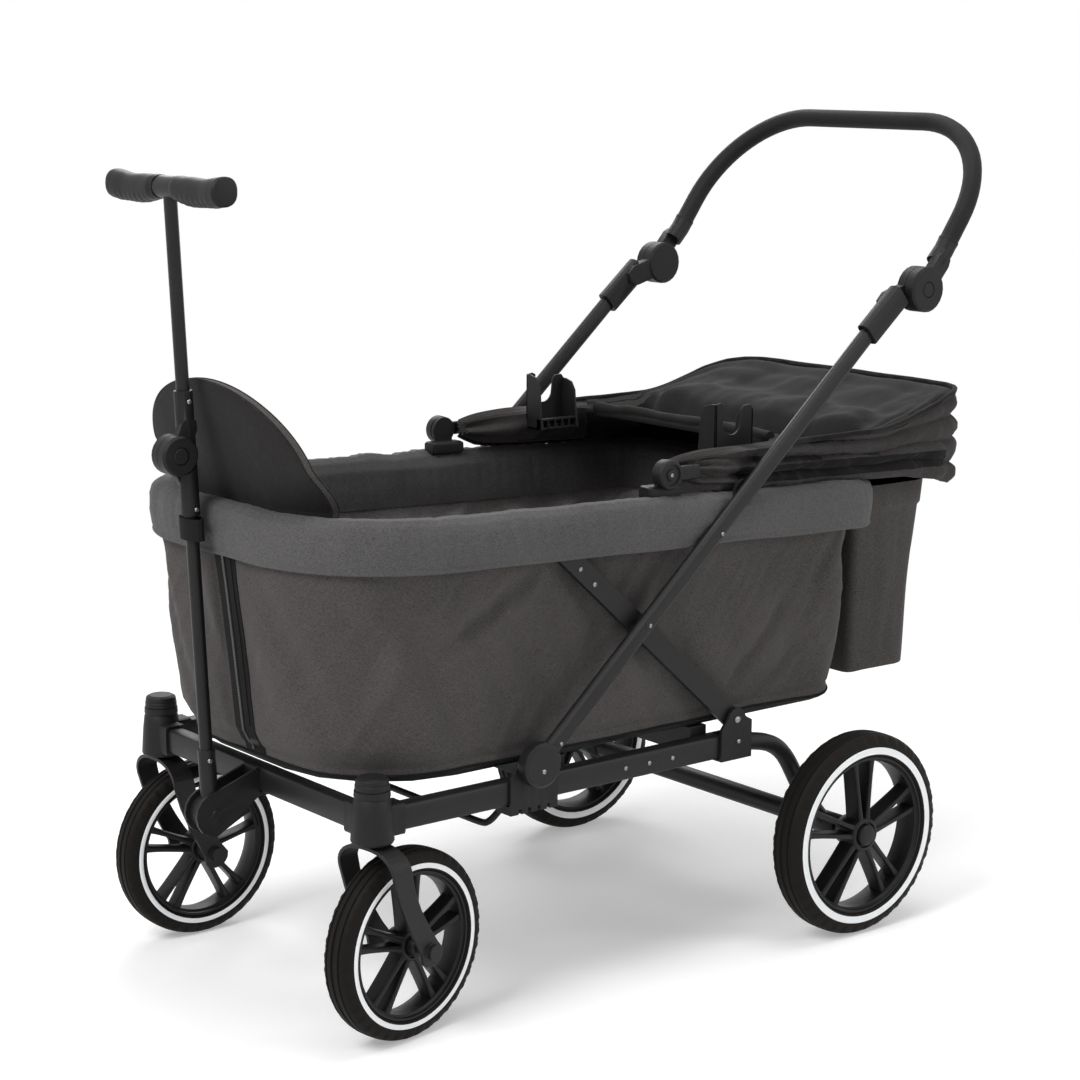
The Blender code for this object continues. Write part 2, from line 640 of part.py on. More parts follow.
def rear_bracket(side, sign):
    """Two cheeks and a bridge that hold the rail end, the leg and the strut rivet."""
    low = RAIL_Z - RAIL_HEIGHT / 2 - SEAT_GAP - 0.003
    half = BRACKET_LENGTH / 2
    top = PIVOT_Z + 0.017
    cheek = []
    for x, z in ((-half, low), (half, low), (half, PIVOT_Z - 0.004)):
        cheek.append(Vector((STRUT_ROOT_X + x, 0, z)))
    for step in range(7):
        angle = radians(10) + radians(160) * step / 6
        cheek.append(Vector((STRUT_ROOT_X + 0.017 * cos(angle), 0, top - 0.017 + 0.017 * sin(angle))))
    cheek.append(Vector((STRUT_ROOT_X - half, 0, PIVOT_Z - 0.012)))
    near = sign * (RAIL_OUTER_Y + SEAT_GAP)
    far = sign * BRACKET_OUTER_Y
    plate = lofted("rear_bracket_" + side, [[p + Vector((0, near, 0)) for p in cheek],
                                            [p + Vector((0, far, 0)) for p in cheek]], FRAME_PAINT)
    inner_y = RAIL_Y - RAIL_WIDTH / 2 - SEAT_GAP - 0.003
    bridge = block("rear_bracket_%s bridge" % side, (STRUT_ROOT_X - half, min(sign * inner_y, far), low),
                   (STRUT_ROOT_X + half, max(sign * inner_y, far), low + 0.003), FRAME_PAINT)
    combine(plate, bridge, "UNION")
    inner = block("rear_bracket_%s inner" % side,
                  (STRUT_ROOT_X - half, min(sign * inner_y, sign * (inner_y + 0.003)), low),
                  (STRUT_ROOT_X + half, max(sign * inner_y, sign * (inner_y + 0.003)), RAIL_TOP - 0.002),
                  FRAME_PAINT)
    combine(plate, inner, "UNION")
    start = Vector((STRUT_ROOT_X, sign * (STRUT_MIDDLE_Y - STRUT_THICKNESS / 2 - 0.0025), PIVOT_Z))
    rivet = turned("rear_bracket_%s rivet" % side,
                   [(0.0, RIVET_RADIUS + 0.003), (0.0022, RIVET_RADIUS + 0.003), (0.0022, RIVET_RADIUS),
                    (BRACKET_OUTER_Y - abs(start.y), RIVET_RADIUS),
                    (BRACKET_OUTER_Y - abs(start.y), RIVET_RADIUS + 0.002),
                    (BRACKET_OUTER_Y - abs(start.y) + 0.0015, RIVET_RADIUS + 0.001)],
                   start, (0, sign, 0), STEEL, 12)
    return combine(plate, rivet, "UNION")


def rear_leg(side, sign):
    """Round tube that leaves the bracket level and bends down to the axle."""
    start_x = RAIL_REAR_X + SEAT_GAP
    path = smooth_path([(start_x, sign * LEG_Y, RAIL_Z), (start_x + 0.045, sign * LEG_Y, RAIL_Z - 0.001),
                        (LEG_DROP_X - 0.045, sign * LEG_Y, RAIL_Z - 0.016),
                        (LEG_DROP_X, sign * LEG_Y, 0.240),
                        (REAR_AXLE_X - 0.030, sign * LEG_Y, 0.185), (REAR_AXLE_X, sign * LEG_Y, AXLE_Z)], 2)
    leg = lofted("rear_leg_" + side, sweep_sections(path, round_section(LEG_RADIUS, 10), (0, 1, 0)),
                 FRAME_PAINT)
    out = sign * (REAR_TYRE_Y - REAR_TYRE_WIDTH / 2 - 0.004)
    boss = rod("rear_leg_%s boss" % side, (REAR_AXLE_X, sign * (LEG_Y - LEG_RADIUS), AXLE_Z),
               (REAR_AXLE_X, out, AXLE_Z), 0.0175, FRAME_PAINT, 20)
    combine(leg, boss, "UNION")
    hole = rod("rear_leg_%s bore" % side, (REAR_AXLE_X, sign * (LEG_Y - 0.05), AXLE_Z),
               (REAR_AXLE_X, sign * (LEG_Y + 0.05), AXLE_Z), AXLE_ROD_RADIUS + SEAT_GAP, FRAME_PAINT, 16)
    return combine(leg, hole, "DIFFERENCE")


# Folding side frame
def mirror_y(points, sign):
    """Place points that are given for the right side on either side."""
    return [Vector((point.x, point.y * sign, point.z)) for point in points]


def side_prism(name, outline, near, far, sign, surface):
    """Extrude an (x, z) outline from one distance off the middle to another."""
    loops = [mirror_y([Vector((x, y, z)) for x, z in outline], sign) for y in (near, far)]
    return lofted(name, loops, surface)


def bar_outline(start, end, half, steps=5):
    """Flat bar with round ends, as an (x, z) outline."""
    along = (end - start).normalized()
    base = atan2(along.z, along.x)
    points = []
    for centre, turn in ((end, base - pi / 2), (start, base + pi / 2)):
        for step in range(steps + 1):
            angle = turn + pi * step / steps
            points.append((centre.x + half * cos(angle), centre.z + half * sin(angle)))
    return points


def fold_strut(side, sign, empty):
    """Flat strut from the rear bracket up to the rim, drilled for its rivets."""
    root = Vector((STRUT_ROOT_X, 0, PIVOT_Z))
    reach = (RIM_HEIGHT - STRUT_TOP_BELOW_RIM - CROSS_POINT.z) / STRUT_ALONG.z
    tip = CROSS_POINT + STRUT_ALONG * reach
    half = STRUT_WIDTH / 2
    near = STRUT_OUTER_Y - STRUT_THICKNESS
    strut = side_prism("fold_strut_" + side, bar_outline(root, tip, half), near, STRUT_OUTER_Y, sign,
                       FRAME_PAINT)
    for centre in (root, CROSS_POINT):
        hole = turned("fold_strut_%s hole" % side, [(near - 0.01, RIVET_RADIUS + SEAT_GAP),
                                                    (STRUT_OUTER_Y + 0.01, RIVET_RADIUS + SEAT_GAP)],
                      centre, (0, sign, 0), FRAME_PAINT, 12)
        combine(strut, hole, "DIFFERENCE")
    return hang_on(strut, empty)


def push_arm(side, sign, empty):
    """Oval tube with a round foot at the block and the rivet that crosses the strut."""
    foot = Vector((FOOT_X, sign * ARM_Y, PIVOT_Z))
    start = foot + ARM_ALONG * (FOOT_RADIUS * 0.5)
    end = foot + ARM_ALONG * (COLLAR_REACH + COLLAR_SOCKET - SEAT_GAP)
    section = rounded_box_section(ARM_THICKNESS, ARM_HEIGHT, ARM_THICKNESS * 0.42)
    arm = lofted("push_arm_" + side, sweep_sections([start, end], section, (0, 1, 0)), FRAME_PAINT)
    disc = turned("push_arm_%s foot" % side,
                  [(FOOT_INNER_Y, FOOT_RADIUS - 0.001), (FOOT_INNER_Y + 0.002, FOOT_RADIUS),
                   (FOOT_INNER_Y + FOOT_THICKNESS - 0.003, FOOT_RADIUS),
                   (FOOT_INNER_Y + FOOT_THICKNESS, FOOT_RADIUS - 0.004)],
                  (FOOT_X, 0, PIVOT_Z), (0, sign, 0), FRAME_PAINT, 22)
    combine(arm, disc, "UNION")
    inner = STRUT_OUTER_Y - STRUT_THICKNESS - 0.002
    rivet = turned("push_arm_%s rivet" % side,
                   [(inner - 0.0015, RIVET_RADIUS + 0.003), (inner, RIVET_RADIUS + 0.003),
                    (inner, RIVET_RADIUS),
                    (ARM_OUTER_Y, RIVET_RADIUS), (ARM_OUTER_Y, RIVET_RADIUS + 0.0015),
                    (ARM_OUTER_Y + 0.0012, RIVET_RADIUS)],
                   CROSS_POINT, (0, sign, 0), FRAME_PAINT, 12)
    combine(arm, rivet, "UNION")
    pin_hole = turned("push_arm_%s foot hole" % side,
                      [(FOOT_INNER_Y - 0.01, RIVET_RADIUS + 0.002 + SEAT_GAP),
                       (FOOT_INNER_Y + FOOT_THICKNESS * 0.6, RIVET_RADIUS + 0.002 + SEAT_GAP)],
                      (FOOT_X, 0, PIVOT_Z), (0, sign, 0), FRAME_PAINT, 12)
    combine(arm, pin_hole, "DIFFERENCE")
    rim_hole = turned("push_arm_%s rim hole" % side,
                      [(ARM_INNER_Y - 0.01, RIVET_RADIUS + SEAT_GAP),
                       (ARM_INNER_Y + ARM_THICKNESS * 0.6, RIVET_RADIUS + SEAT_GAP)],
                      RIM_PIVOT, (0, sign, 0), FRAME_PAINT, 12)
    combine(arm, rim_hole, "DIFFERENCE")
    return hang_on(arm, empty)


def slider_block(side, sign, empty):
    """Block that rides on the rail: a cheek with the foot's pin, a roof and a ribbed sole."""
    half = BLOCK_LENGTH / 2
    rail_low = RAIL_Z - RAIL_HEIGHT / 2
    sole = rail_low - SEAT_GAP - 0.012
    roof = RAIL_TOP + SEAT_GAP
    cheek_in = RAIL_OUTER_Y + SEAT_GAP
    inner = RAIL_Y - RAIL_WIDTH / 2 - SEAT_GAP
    outline = [(FOOT_X - half, sole), (FOOT_X + half, sole), (FOOT_X + half, roof + 0.004),
               (FOOT_X + FOOT_RADIUS * 0.7, PIVOT_Z + 0.006), (FOOT_X + FOOT_RADIUS * 0.3, PIVOT_Z + 0.012),
               (FOOT_X - FOOT_RADIUS * 0.3, PIVOT_Z + 0.012), (FOOT_X - FOOT_RADIUS * 0.7, PIVOT_Z + 0.006),
               (FOOT_X - half, roof + 0.004)]
    cheek = side_prism("slider_block_" + side, outline, cheek_in, BLOCK_OUTER_Y, sign, PLASTIC)
    floor = side_prism("slider_block_%s sole" % side,
                       [(FOOT_X - half, sole), (FOOT_X + half, sole), (FOOT_X + half, rail_low - SEAT_GAP),
                        (FOOT_X - half, rail_low - SEAT_GAP)], inner - BLOCK_WALL, BLOCK_OUTER_Y - 0.001,
                       sign, PLASTIC)
    combine(cheek, floor, "UNION")
    wall = side_prism("slider_block_%s inner wall" % side,
                      [(FOOT_X - half, sole), (FOOT_X + half, sole), (FOOT_X + half, RAIL_Z + 0.010),
                       (FOOT_X - half, RAIL_Z + 0.010)], inner - BLOCK_WALL, inner, sign, PLASTIC)
    combine(cheek, wall, "UNION")
    pitch = BLOCK_LENGTH / BLOCK_RIBS
    for index in range(BLOCK_RIBS - 1):
        x = FOOT_X - half + pitch * (index + 1)
        notch = side_prism("slider_block_%s notch %d" % (side, index),
                           [(x - 0.0025, sole - 0.01), (x + 0.0025, sole - 0.01), (x + 0.0025, sole + 0.007),
                            (x - 0.0025, sole + 0.007)], BLOCK_OUTER_Y - 0.012, BLOCK_OUTER_Y + 0.01, sign,
                           PLASTIC)
        combine(cheek, notch, "DIFFERENCE")
    pin = turned("slider_block_%s pin" % side,
                 [(BLOCK_OUTER_Y - BLOCK_WALL * 0.5, RIVET_RADIUS + 0.002),
                  (FOOT_INNER_Y + FOOT_THICKNESS * 0.5, RIVET_RADIUS + 0.002)],
                 (FOOT_X, 0, PIVOT_Z), (0, sign, 0), PLASTIC, 14)
    combine(cheek, pin, "UNION")
    eye = turned("slider_block_%s eye" % side,
                 [(inner - BLOCK_WALL - 0.02, RELEASE_BAR_RADIUS + 0.0005),
                  (inner - BLOCK_WALL + 0.012, RELEASE_BAR_RADIUS + 0.0005)],
                 (FOOT_X - 0.015, 0, sole + 0.006), (0, sign, 0), PLASTIC, 12)
    ear = side_prism("slider_block_%s ear" % side,
                     [(FOOT_X - 0.028, sole - 0.006), (FOOT_X - 0.002, sole - 0.006),
                      (FOOT_X - 0.002, sole + 0.002),
                      (FOOT_X - 0.028, sole + 0.002)], inner - BLOCK_WALL, inner + 0.010, sign, PLASTIC)
    combine(cheek, ear, "UNION")
    combine(cheek, eye, "DIFFERENCE")
    return hang_on(cheek, empty)


def release_bar(empty):
    """U-shaped pull bar under the wagon that frees both blocks."""
    inner = RAIL_Y - RAIL_WIDTH / 2 - SEAT_GAP
    eye_z = RAIL_Z - RAIL_HEIGHT / 2 - SEAT_GAP - 0.006
    x = FOOT_X - 0.015
    low = eye_z - RELEASE_BAR_DROP
    reach = inner - BLOCK_WALL - 0.008
    half = [(x, inner - BLOCK_WALL + 0.010, eye_z), (x, inner - BLOCK_WALL - 0.001, eye_z),
            (x, reach, eye_z),
            (x - 0.005, reach - 0.006, eye_z - 0.006), (x - 0.018, reach - 0.010, low + 0.008),
            (x - 0.024, reach - 0.018, low), (x - 0.024, reach * 0.5, low)]
    points = [(a, -b, c) for a, b, c in half] + [(a, b, c) for a, b, c in reversed(half)]
    bar = lofted("release_bar", sweep_sections(points, round_section(RELEASE_BAR_RADIUS, 8), (0, 0, 1)),
                 FRAME_PAINT)
    return hang_on(bar, empty)


# Push handle
def handle_point(reach, offset, y):
    """Point on the arm's own line, measured from its foot."""
    return Vector((FOOT_X, y, PIVOT_Z)) + ARM_ALONG * reach + ARM_ABOVE * offset


HINGE_POINT = handle_point(COLLAR_REACH + HINGE_BEYOND_COLLAR, -HINGE_OFFSET, 0.0)
HANDLE_ALONG = Vector((cos(HANDLE_ANGLE), 0.0, sin(HANDLE_ANGLE)))
NECK_ALONG = Vector((cos(HANDLE_ANGLE - NECK_TURN), 0.0, sin(HANDLE_ANGLE - NECK_TURN)))
LOOP_START = HINGE_POINT + NECK_ALONG * NECK_LENGTH
LOOP_HEIGHT = (OVERALL_LENGTH / 2 - FOAM_RADIUS / cos(pi / FOAM_SIDES) - LOOP_START.x) / cos(HANDLE_ANGLE)


def arm_collar(side, sign, empty):
    """Collar that takes the arm's end, with the inner half of the folding disc."""
    y = sign * ARM_Y
    start = handle_point(COLLAR_REACH, 0, y)
    end = handle_point(COLLAR_REACH + COLLAR_LENGTH, -0.002, y)
    outer = rounded_box_section(ARM_THICKNESS + 2 * COLLAR_WALL, ARM_HEIGHT + 2 * COLLAR_WALL, 0.007)
    collar = lofted("arm_collar_" + side, sweep_sections([start, end], outer, (0, 1, 0)), PLASTIC)
    half = HINGE_THICKNESS / 2
    disc = turned("arm_collar_%s disc" % side,
                  [(ARM_Y - half, HINGE_RADIUS - 0.003), (ARM_Y - half + 0.003, HINGE_RADIUS),
                   (ARM_Y - RUN_GAP / 4, HINGE_RADIUS)], (HINGE_POINT.x, 0, HINGE_POINT.z), (0, sign, 0),
                  PLASTIC, 22)
    combine(collar, disc, "UNION")
    web = side_prism("arm_collar_%s web" % side, bar_outline(HINGE_POINT, handle_point(
        COLLAR_REACH + COLLAR_LENGTH - 0.020, 0, 0), 0.016, 3), ARM_Y - half + 0.002, ARM_Y - RUN_GAP / 4,
                     sign, PLASTIC)
    combine(collar, web, "UNION")
    socket = rounded_box_section(ARM_THICKNESS + 2 * SEAT_GAP, ARM_HEIGHT + 2 * SEAT_GAP,
                                 ARM_THICKNESS * 0.42)
    hole = lofted("arm_collar_%s socket" % side,
                  sweep_sections([handle_point(COLLAR_REACH - 0.01, 0, y),
                                  handle_point(COLLAR_REACH + COLLAR_SOCKET, 0, y)], socket, (0, 1, 0)),
                  PLASTIC)
    combine(collar, hole, "DIFFERENCE")
    room = turned("arm_collar_%s room" % side,
                  [(ARM_Y + RUN_GAP / 4, HINGE_RADIUS + RUN_GAP),
                   (ARM_Y + half + 0.02, HINGE_RADIUS + RUN_GAP)],
                  (HINGE_POINT.x, 0, HINGE_POINT.z), (0, sign, 0), PLASTIC, 22)
    combine(collar, room, "DIFFERENCE")
    axle = turned("arm_collar_%s axle" % side, [(ARM_Y - 0.008, 0.006), (ARM_Y + 0.005, 0.006)],
                  (HINGE_POINT.x, 0, HINGE_POINT.z), (0, sign, 0), PLASTIC, 14)
    combine(collar, axle, "UNION")
    return hang_on(collar, empty)


def handle_hinge(side, sign, empty):
    """Outer half of the folding disc with the neck that carries the loop."""
    half = HINGE_THICKNESS / 2
    disc = turned("handle_hinge_" + side,
                  [(ARM_Y + RUN_GAP / 4, HINGE_RADIUS), (ARM_Y + half - 0.003, HINGE_RADIUS),
                   (ARM_Y + half, HINGE_RADIUS - 0.003)], (HINGE_POINT.x, 0, HINGE_POINT.z), (0, sign, 0),
                  PLASTIC, 22)
    neck_end = LOOP_START - HANDLE_ALONG * SEAT_GAP
    neck_bend = neck_end - HANDLE_ALONG * FOAM_RADIUS
    neck_start = HINGE_POINT + NECK_ALONG * (HINGE_RADIUS + RUN_GAP * 1.5 + 0.012)
    y = sign * ARM_Y
    radius = FOAM_RADIUS + 0.001
    neck = lofted("handle_hinge_%s neck" % side,
                  sweep_sections([point + Vector((0, y, 0)) for point in (neck_start, neck_bend, neck_end)],
                                 round_section(radius, 16), (0, 1, 0)), PLASTIC)
    link = side_prism("handle_hinge_%s link" % side,
                      bar_outline(HINGE_POINT, neck_start + NECK_ALONG * 0.004, 0.0135, 4),
                      ARM_Y + RUN_GAP / 4, ARM_Y + half - 0.003, sign, PLASTIC)
    combine(disc, link, "UNION")
    combine(disc, neck, "UNION")
    bore = turned("handle_hinge_%s bore" % side,
                  [(ARM_Y - 0.01, 0.006 + SEAT_GAP), (ARM_Y + 0.0055, 0.006 + SEAT_GAP)],
                  (HINGE_POINT.x, 0, HINGE_POINT.z), (0, sign, 0), PLASTIC, 14)
    combine(disc, bore, "DIFFERENCE")
    recess = turned("handle_hinge_%s recess" % side,
                    [(ARM_Y + half - 0.0095, HINGE_BUTTON_RADIUS + SEAT_GAP),
                     (ARM_Y + half + 0.01, HINGE_BUTTON_RADIUS + SEAT_GAP)],
                    (HINGE_POINT.x, 0, HINGE_POINT.z), (0, sign, 0), PLASTIC, 20)
    combine(disc, recess, "DIFFERENCE")
    return hang_on(disc, empty)


def hinge_button(side, sign, empty):
    """Round push button in the disc's outer face."""
    half = HINGE_THICKNESS / 2
    low = ARM_Y + half - 0.0095 + HINGE_BUTTON_TRAVEL + SEAT_GAP
    button = turned("hinge_button_" + side,
                    [(low, HINGE_BUTTON_RADIUS), (ARM_Y + half - 0.0010, HINGE_BUTTON_RADIUS),
                     (ARM_Y + half + 0.0005, HINGE_BUTTON_RADIUS - 0.002)],
                    (HINGE_POINT.x, 0, HINGE_POINT.z), (0, sign, 0), PLASTIC, 20)
    return hang_on(button, empty)


def loop_path():
    """Centre line of the handle loop from the left neck round to the right one."""
    half_width = ARM_Y
    bend = min(LOOP_BEND, LOOP_HEIGHT - LOOP_STRAIGHT_LEAST)
    straight = LOOP_HEIGHT - bend
    half = [LOOP_START + Vector((0, -half_width, 0)), LOOP_START + HANDLE_ALONG * straight * 0.5 +
            Vector((0, -half_width, 0))]
    for step in range(7):
        angle = pi / 2 * step / 6
        reach = straight + bend * sin(angle)
        aside = bend * (1 - cos(angle)) - half_width
        half.append(LOOP_START + HANDLE_ALONG * reach + Vector((0, aside, 0)))
    return half + [Vector((point.x, -point.y, point.z)) for point in reversed(half)]


def push_handle(empty):
    """Bent tube and the foam sleeve over it."""
    path = loop_path()
    level = HANDLE_ALONG.cross(Vector((0, 1, 0)))
    tube = lofted("push_handle_tube", sweep_sections(path, round_section(LOOP_TUBE_RADIUS, 8), level),
                  FRAME_PAINT)
    hang_on(tube, empty)
    outer = sweep_sections(path, round_section(FOAM_RADIUS / cos(pi / FOAM_SIDES), FOAM_SIDES), level)
    inner = sweep_sections(path, round_section(LOOP_TUBE_RADIUS + 0.0009, FOAM_SIDES), level)
    mesh_data = bmesh.new()
    rows = []
    for skin in (outer, inner):
        rows.append([[mesh_data.verts.new(point) for point in section] for section in skin])
    count = FOAM_SIDES
    for row in rows:
        for first, second in zip(row, row[1:]):
            for index in range(count):
                after = (index + 1) % count
                mesh_data.faces.new((first[index], first[after], second[after], second[index]))
    for end in (0, -1):
        for index in range(count):
            after = (index + 1) % count
            mesh_data.faces.new((rows[0][end][index], rows[0][end][after], rows[1][end][after],
                                 rows[1][end][index]))
    return hang_on(finish("foam_grip", mesh_data, FOAM), empty)


# Pull handle
PULL_ALONG = Vector((-sin(PULL_LEAN), 0.0, cos(PULL_LEAN)))
PULL_FRONT = Vector((-cos(PULL_LEAN), 0.0, -sin(PULL_LEAN)))
PULL_FORWARD = PULL_ALONG.x * PULL_JOINT_REACH + PULL_FRONT.x * PULL_JOINT_OFFSET
PULL_PIVOT = Vector((FRONT_FACE_X + PULL_JOINT_RADIUS - PULL_FORWARD, 0.0, PULL_PIVOT_Z))
PULL_HINGE = PULL_PIVOT + PULL_ALONG * PULL_JOINT_REACH + PULL_FRONT * PULL_JOINT_OFFSET
PULL_CHEEK_Y = PULL_SLEEVE_RADIUS + 0.0008
CROSSBAR_FRONT_X = CASTER_X - RAIL_WIDTH / 2


def pull_point(reach):
    """Point on the pull tube's centre line."""
    return PULL_PIVOT + PULL_ALONG * reach


def pull_bracket():
    """Two round cheeks on a plate in front of the crossbar, with the pin between them."""
    plate_x = CROSSBAR_FRONT_X - SEAT_GAP
    low = RAIL_Z - RAIL_HEIGHT / 2 - SEAT_GAP - 0.005
    top = RAIL_Z + RAIL_HEIGHT / 2
    outer = PULL_CHEEK_Y + PULL_CHEEK_THICKNESS
    bracket = block("pull_bracket", (plate_x - 0.005, -outer, low), (plate_x, outer, top), FRAME_PAINT)
    lip = block("pull_bracket lip", (plate_x - 0.005, -outer, low),
                (plate_x + RAIL_WIDTH * 0.8, outer, low + 0.005),
                FRAME_PAINT)
    combine(bracket, lip, "UNION")
    for side, sign in SIDES.items():
        outline = [(plate_x - 0.001, low), (plate_x - 0.001, top)]
        for step in range(9):
            angle = pi / 2 + pi * step / 8
            outline.append((PULL_PIVOT.x + PULL_BASE_RADIUS * cos(angle),
                            PULL_PIVOT.z + PULL_BASE_RADIUS * sin(angle)))
        cheek = side_prism("pull_bracket cheek " + side, outline, PULL_CHEEK_Y, outer, sign, FRAME_PAINT)
        combine(bracket, cheek, "UNION")
        head = turned("pull_bracket head " + side, [(outer - 0.001, 0.0075), (outer + 0.0015, 0.0065)],
                      PULL_PIVOT, (0, sign, 0), STEEL, 12)
        combine(bracket, head, "UNION")
    pin = turned("pull_bracket pin", [(-PULL_CHEEK_Y - 0.001, RIVET_RADIUS),
                                      (PULL_CHEEK_Y + 0.001, RIVET_RADIUS)],
                 PULL_PIVOT, (0, 1, 0), STEEL, 12)
    return combine(bracket, pin, "UNION")


def pull_lower_tube(empty):
    """Knuckle, base sleeve and lower tube of the pull handle."""
    reach = PULL_SLEEVE_RADIUS + 0.0003
    knuckle = turned("pull_lower_tube", [(-reach, PULL_BASE_RADIUS - 0.007),
                                         (reach, PULL_BASE_RADIUS - 0.007)],
                     PULL_PIVOT, (0, 1, 0), FRAME_PAINT, 24)
    sleeve = rod("pull_lower_tube sleeve", PULL_PIVOT, pull_point(PULL_BASE_SLEEVE), PULL_SLEEVE_RADIUS,
                 FRAME_PAINT, 16)
    combine(knuckle, sleeve, "UNION")
    end = PULL_JOINT_REACH - PULL_JOINT_SLEEVE + PULL_SOCKET - SEAT_GAP
    tube = rod("pull_lower_tube tube", pull_point(PULL_BASE_SLEEVE - 0.02), pull_point(end),
               PULL_TUBE_RADIUS, FRAME_PAINT, 12)
    combine(knuckle, tube, "UNION")
    bore = turned("pull_lower_tube bore",
                  [(-0.03, RIVET_RADIUS + SEAT_GAP), (0.03, RIVET_RADIUS + SEAT_GAP)],
                  PULL_PIVOT, (0, 1, 0), FRAME_PAINT, 12)
    combine(knuckle, bore, "DIFFERENCE")
    return hang_on(knuckle, empty)


def pull_joint_half(name, sign, way, empty):
    """One half of the folding disc with the sleeve for its tube; way is +1 for the upper one."""
    half = PULL_JOINT_THICKNESS / 2
    start = PULL_JOINT_REACH + way * PULL_JOINT_SLEEVE
    near = PULL_JOINT_REACH + way * 0.004
    sleeve = rod(name, pull_point(start), pull_point(near), PULL_SLEEVE_RADIUS + 0.0005, PLASTIC, 16)
    disc = turned(name + " disc", [(RUN_GAP / 4, PULL_JOINT_RADIUS), (half - 0.003, PULL_JOINT_RADIUS),
                                   (half, PULL_JOINT_RADIUS - 0.003)], PULL_HINGE, (0, sign, 0), PLASTIC, 24)
    combine(sleeve, disc, "UNION")
    web = side_prism(name + " web", bar_outline(PULL_HINGE, pull_point(PULL_JOINT_REACH + way * 0.036),
                                                0.012, 3),
                     RUN_GAP / 4, PULL_SLEEVE_RADIUS, sign, PLASTIC)
    combine(sleeve, web, "UNION")
    room = turned(name + " room", [(-half - 0.02, PULL_JOINT_RADIUS + RUN_GAP),
                                   (-RUN_GAP / 4, PULL_JOINT_RADIUS + RUN_GAP)],
                  PULL_HINGE, (0, sign, 0), PLASTIC, 24)
    combine(sleeve, room, "DIFFERENCE")
    socket = rod(name + " socket", pull_point(start + way * 0.01), pull_point(start - way * PULL_SOCKET),
                 PULL_TUBE_RADIUS + SEAT_GAP, PLASTIC, 12)
    combine(sleeve, socket, "DIFFERENCE")
    return hang_on(sleeve, empty)


def pull_joint(lower, upper):
    """Folding disc half way up the pull handle, with its release button."""
    half = PULL_JOINT_THICKNESS / 2
    fixed = pull_joint_half("pull_joint_lower", 1.0, -1.0, lower)
    axle = turned("pull_joint_lower axle", [(-0.005, 0.005), (0.006, 0.005)], PULL_HINGE, (0, 1, 0),
                  PLASTIC, 12)
    combine(fixed, axle, "UNION")
    moving = pull_joint_half("pull_joint_upper", -1.0, 1.0, upper)
    bore = turned("pull_joint_upper bore", [(-0.0055, 0.005 + SEAT_GAP), (0.01, 0.005 + SEAT_GAP)],
                  PULL_HINGE,
                  (0, 1, 0), PLASTIC, 12)
    combine(moving, bore, "DIFFERENCE")
    floor = half - 0.0085
    recess = turned("pull_joint_upper recess", [(floor, PULL_BUTTON_RADIUS + SEAT_GAP),
                                                (half + 0.01, PULL_BUTTON_RADIUS + SEAT_GAP)],
                    PULL_HINGE, (0, -1, 0), PLASTIC, 16)
    combine(moving, recess, "DIFFERENCE")
    button = turned("pull_joint_button", [(floor + PULL_BUTTON_TRAVEL + SEAT_GAP, PULL_BUTTON_RADIUS),
                                          (half - 0.001, PULL_BUTTON_RADIUS),
                                          (half + 0.0005, PULL_BUTTON_RADIUS - 0.002)],
                    PULL_HINGE, (0, -1, 0), PLASTIC, 16)
    return hang_on(button, upper)


def pull_top(empty):
    """Upper tube with its cross peg, and the two moulded grips."""
    start = PULL_JOINT_REACH + PULL_JOINT_SLEEVE - PULL_SOCKET + SEAT_GAP
    top = pull_point(PULL_TOP_REACH)
    tube = rod("pull_upper_tube", pull_point(start), top, PULL_TUBE_RADIUS, FRAME_PAINT, 12)
    hub_half = GRIP_HUB_RADIUS * 1.4
    peg = GRIP_HALF_SPAN - 0.035
    hub = turned("pull_upper_tube hub", [(-peg, 0.006), (-hub_half, 0.006), (-hub_half, GRIP_HUB_RADIUS),
                                         (hub_half, GRIP_HUB_RADIUS), (hub_half, 0.006), (peg, 0.006)],
                 top, (0, 1, 0), PLASTIC, 16)
    combine(tube, hub, "UNION")
    hang_on(tube, empty)
    start_y = hub_half + SEAT_GAP
    span = GRIP_HALF_SPAN - start_y
    shape = ((0.0, 0.80), (0.12, 0.90), (0.30, 0.84), (0.50, 0.92), (0.70, 0.86), (0.88, 1.0), (0.97, 1.0),
             (1.0, 0.86))
    for side, sign in SIDES.items():
        grip = turned("pull_grip_" + side, [(start_y + span * share, GRIP_RADIUS * size) for share,
                                            size in shape],
                      top, (0, sign, 0), PLASTIC, 14)
        hole = turned("pull_grip_%s hole" % side,
                      [(start_y - 0.01, 0.006 + SEAT_GAP), (peg + 0.001, 0.006 + SEAT_GAP)],
                      top, (0, sign, 0), PLASTIC, 14)
        combine(grip, hole, "DIFFERENCE")
        hang_on(grip, empty)


def handle_strap(empty):
    """Flat loop of webbing drawn round the lower tube."""
    sections = []
    low = PULL_JOINT_REACH - STRAP_BELOW_JOINT
    for grow, rise in ((0.0, 0.0), (STRAP_THICKNESS, 0.0), (STRAP_THICKNESS, STRAP_HEIGHT),
                       (0.0, STRAP_HEIGHT)):
        loop = []
        for step in range(16):
            angle = 2 * pi * step / 16
            wide = (STRAP_HALF_WIDTH - STRAP_THICKNESS + grow) * cos(angle)
            deep = ((PULL_TUBE_RADIUS + SEAT_GAP) / cos(pi / 16) + grow) * sin(angle)
            loop.append(pull_point(low + rise) + PULL_FRONT * deep + Vector((0, wide, 0)))
        sections.append(loop)
    return hang_on(lofted("handle_strap", sections, WEBBING, True), empty)


# Soft body
def rim_z(x):
    """Height of the rim tube's centre line."""
    return RIM_HEIGHT - RIM_FALL * x


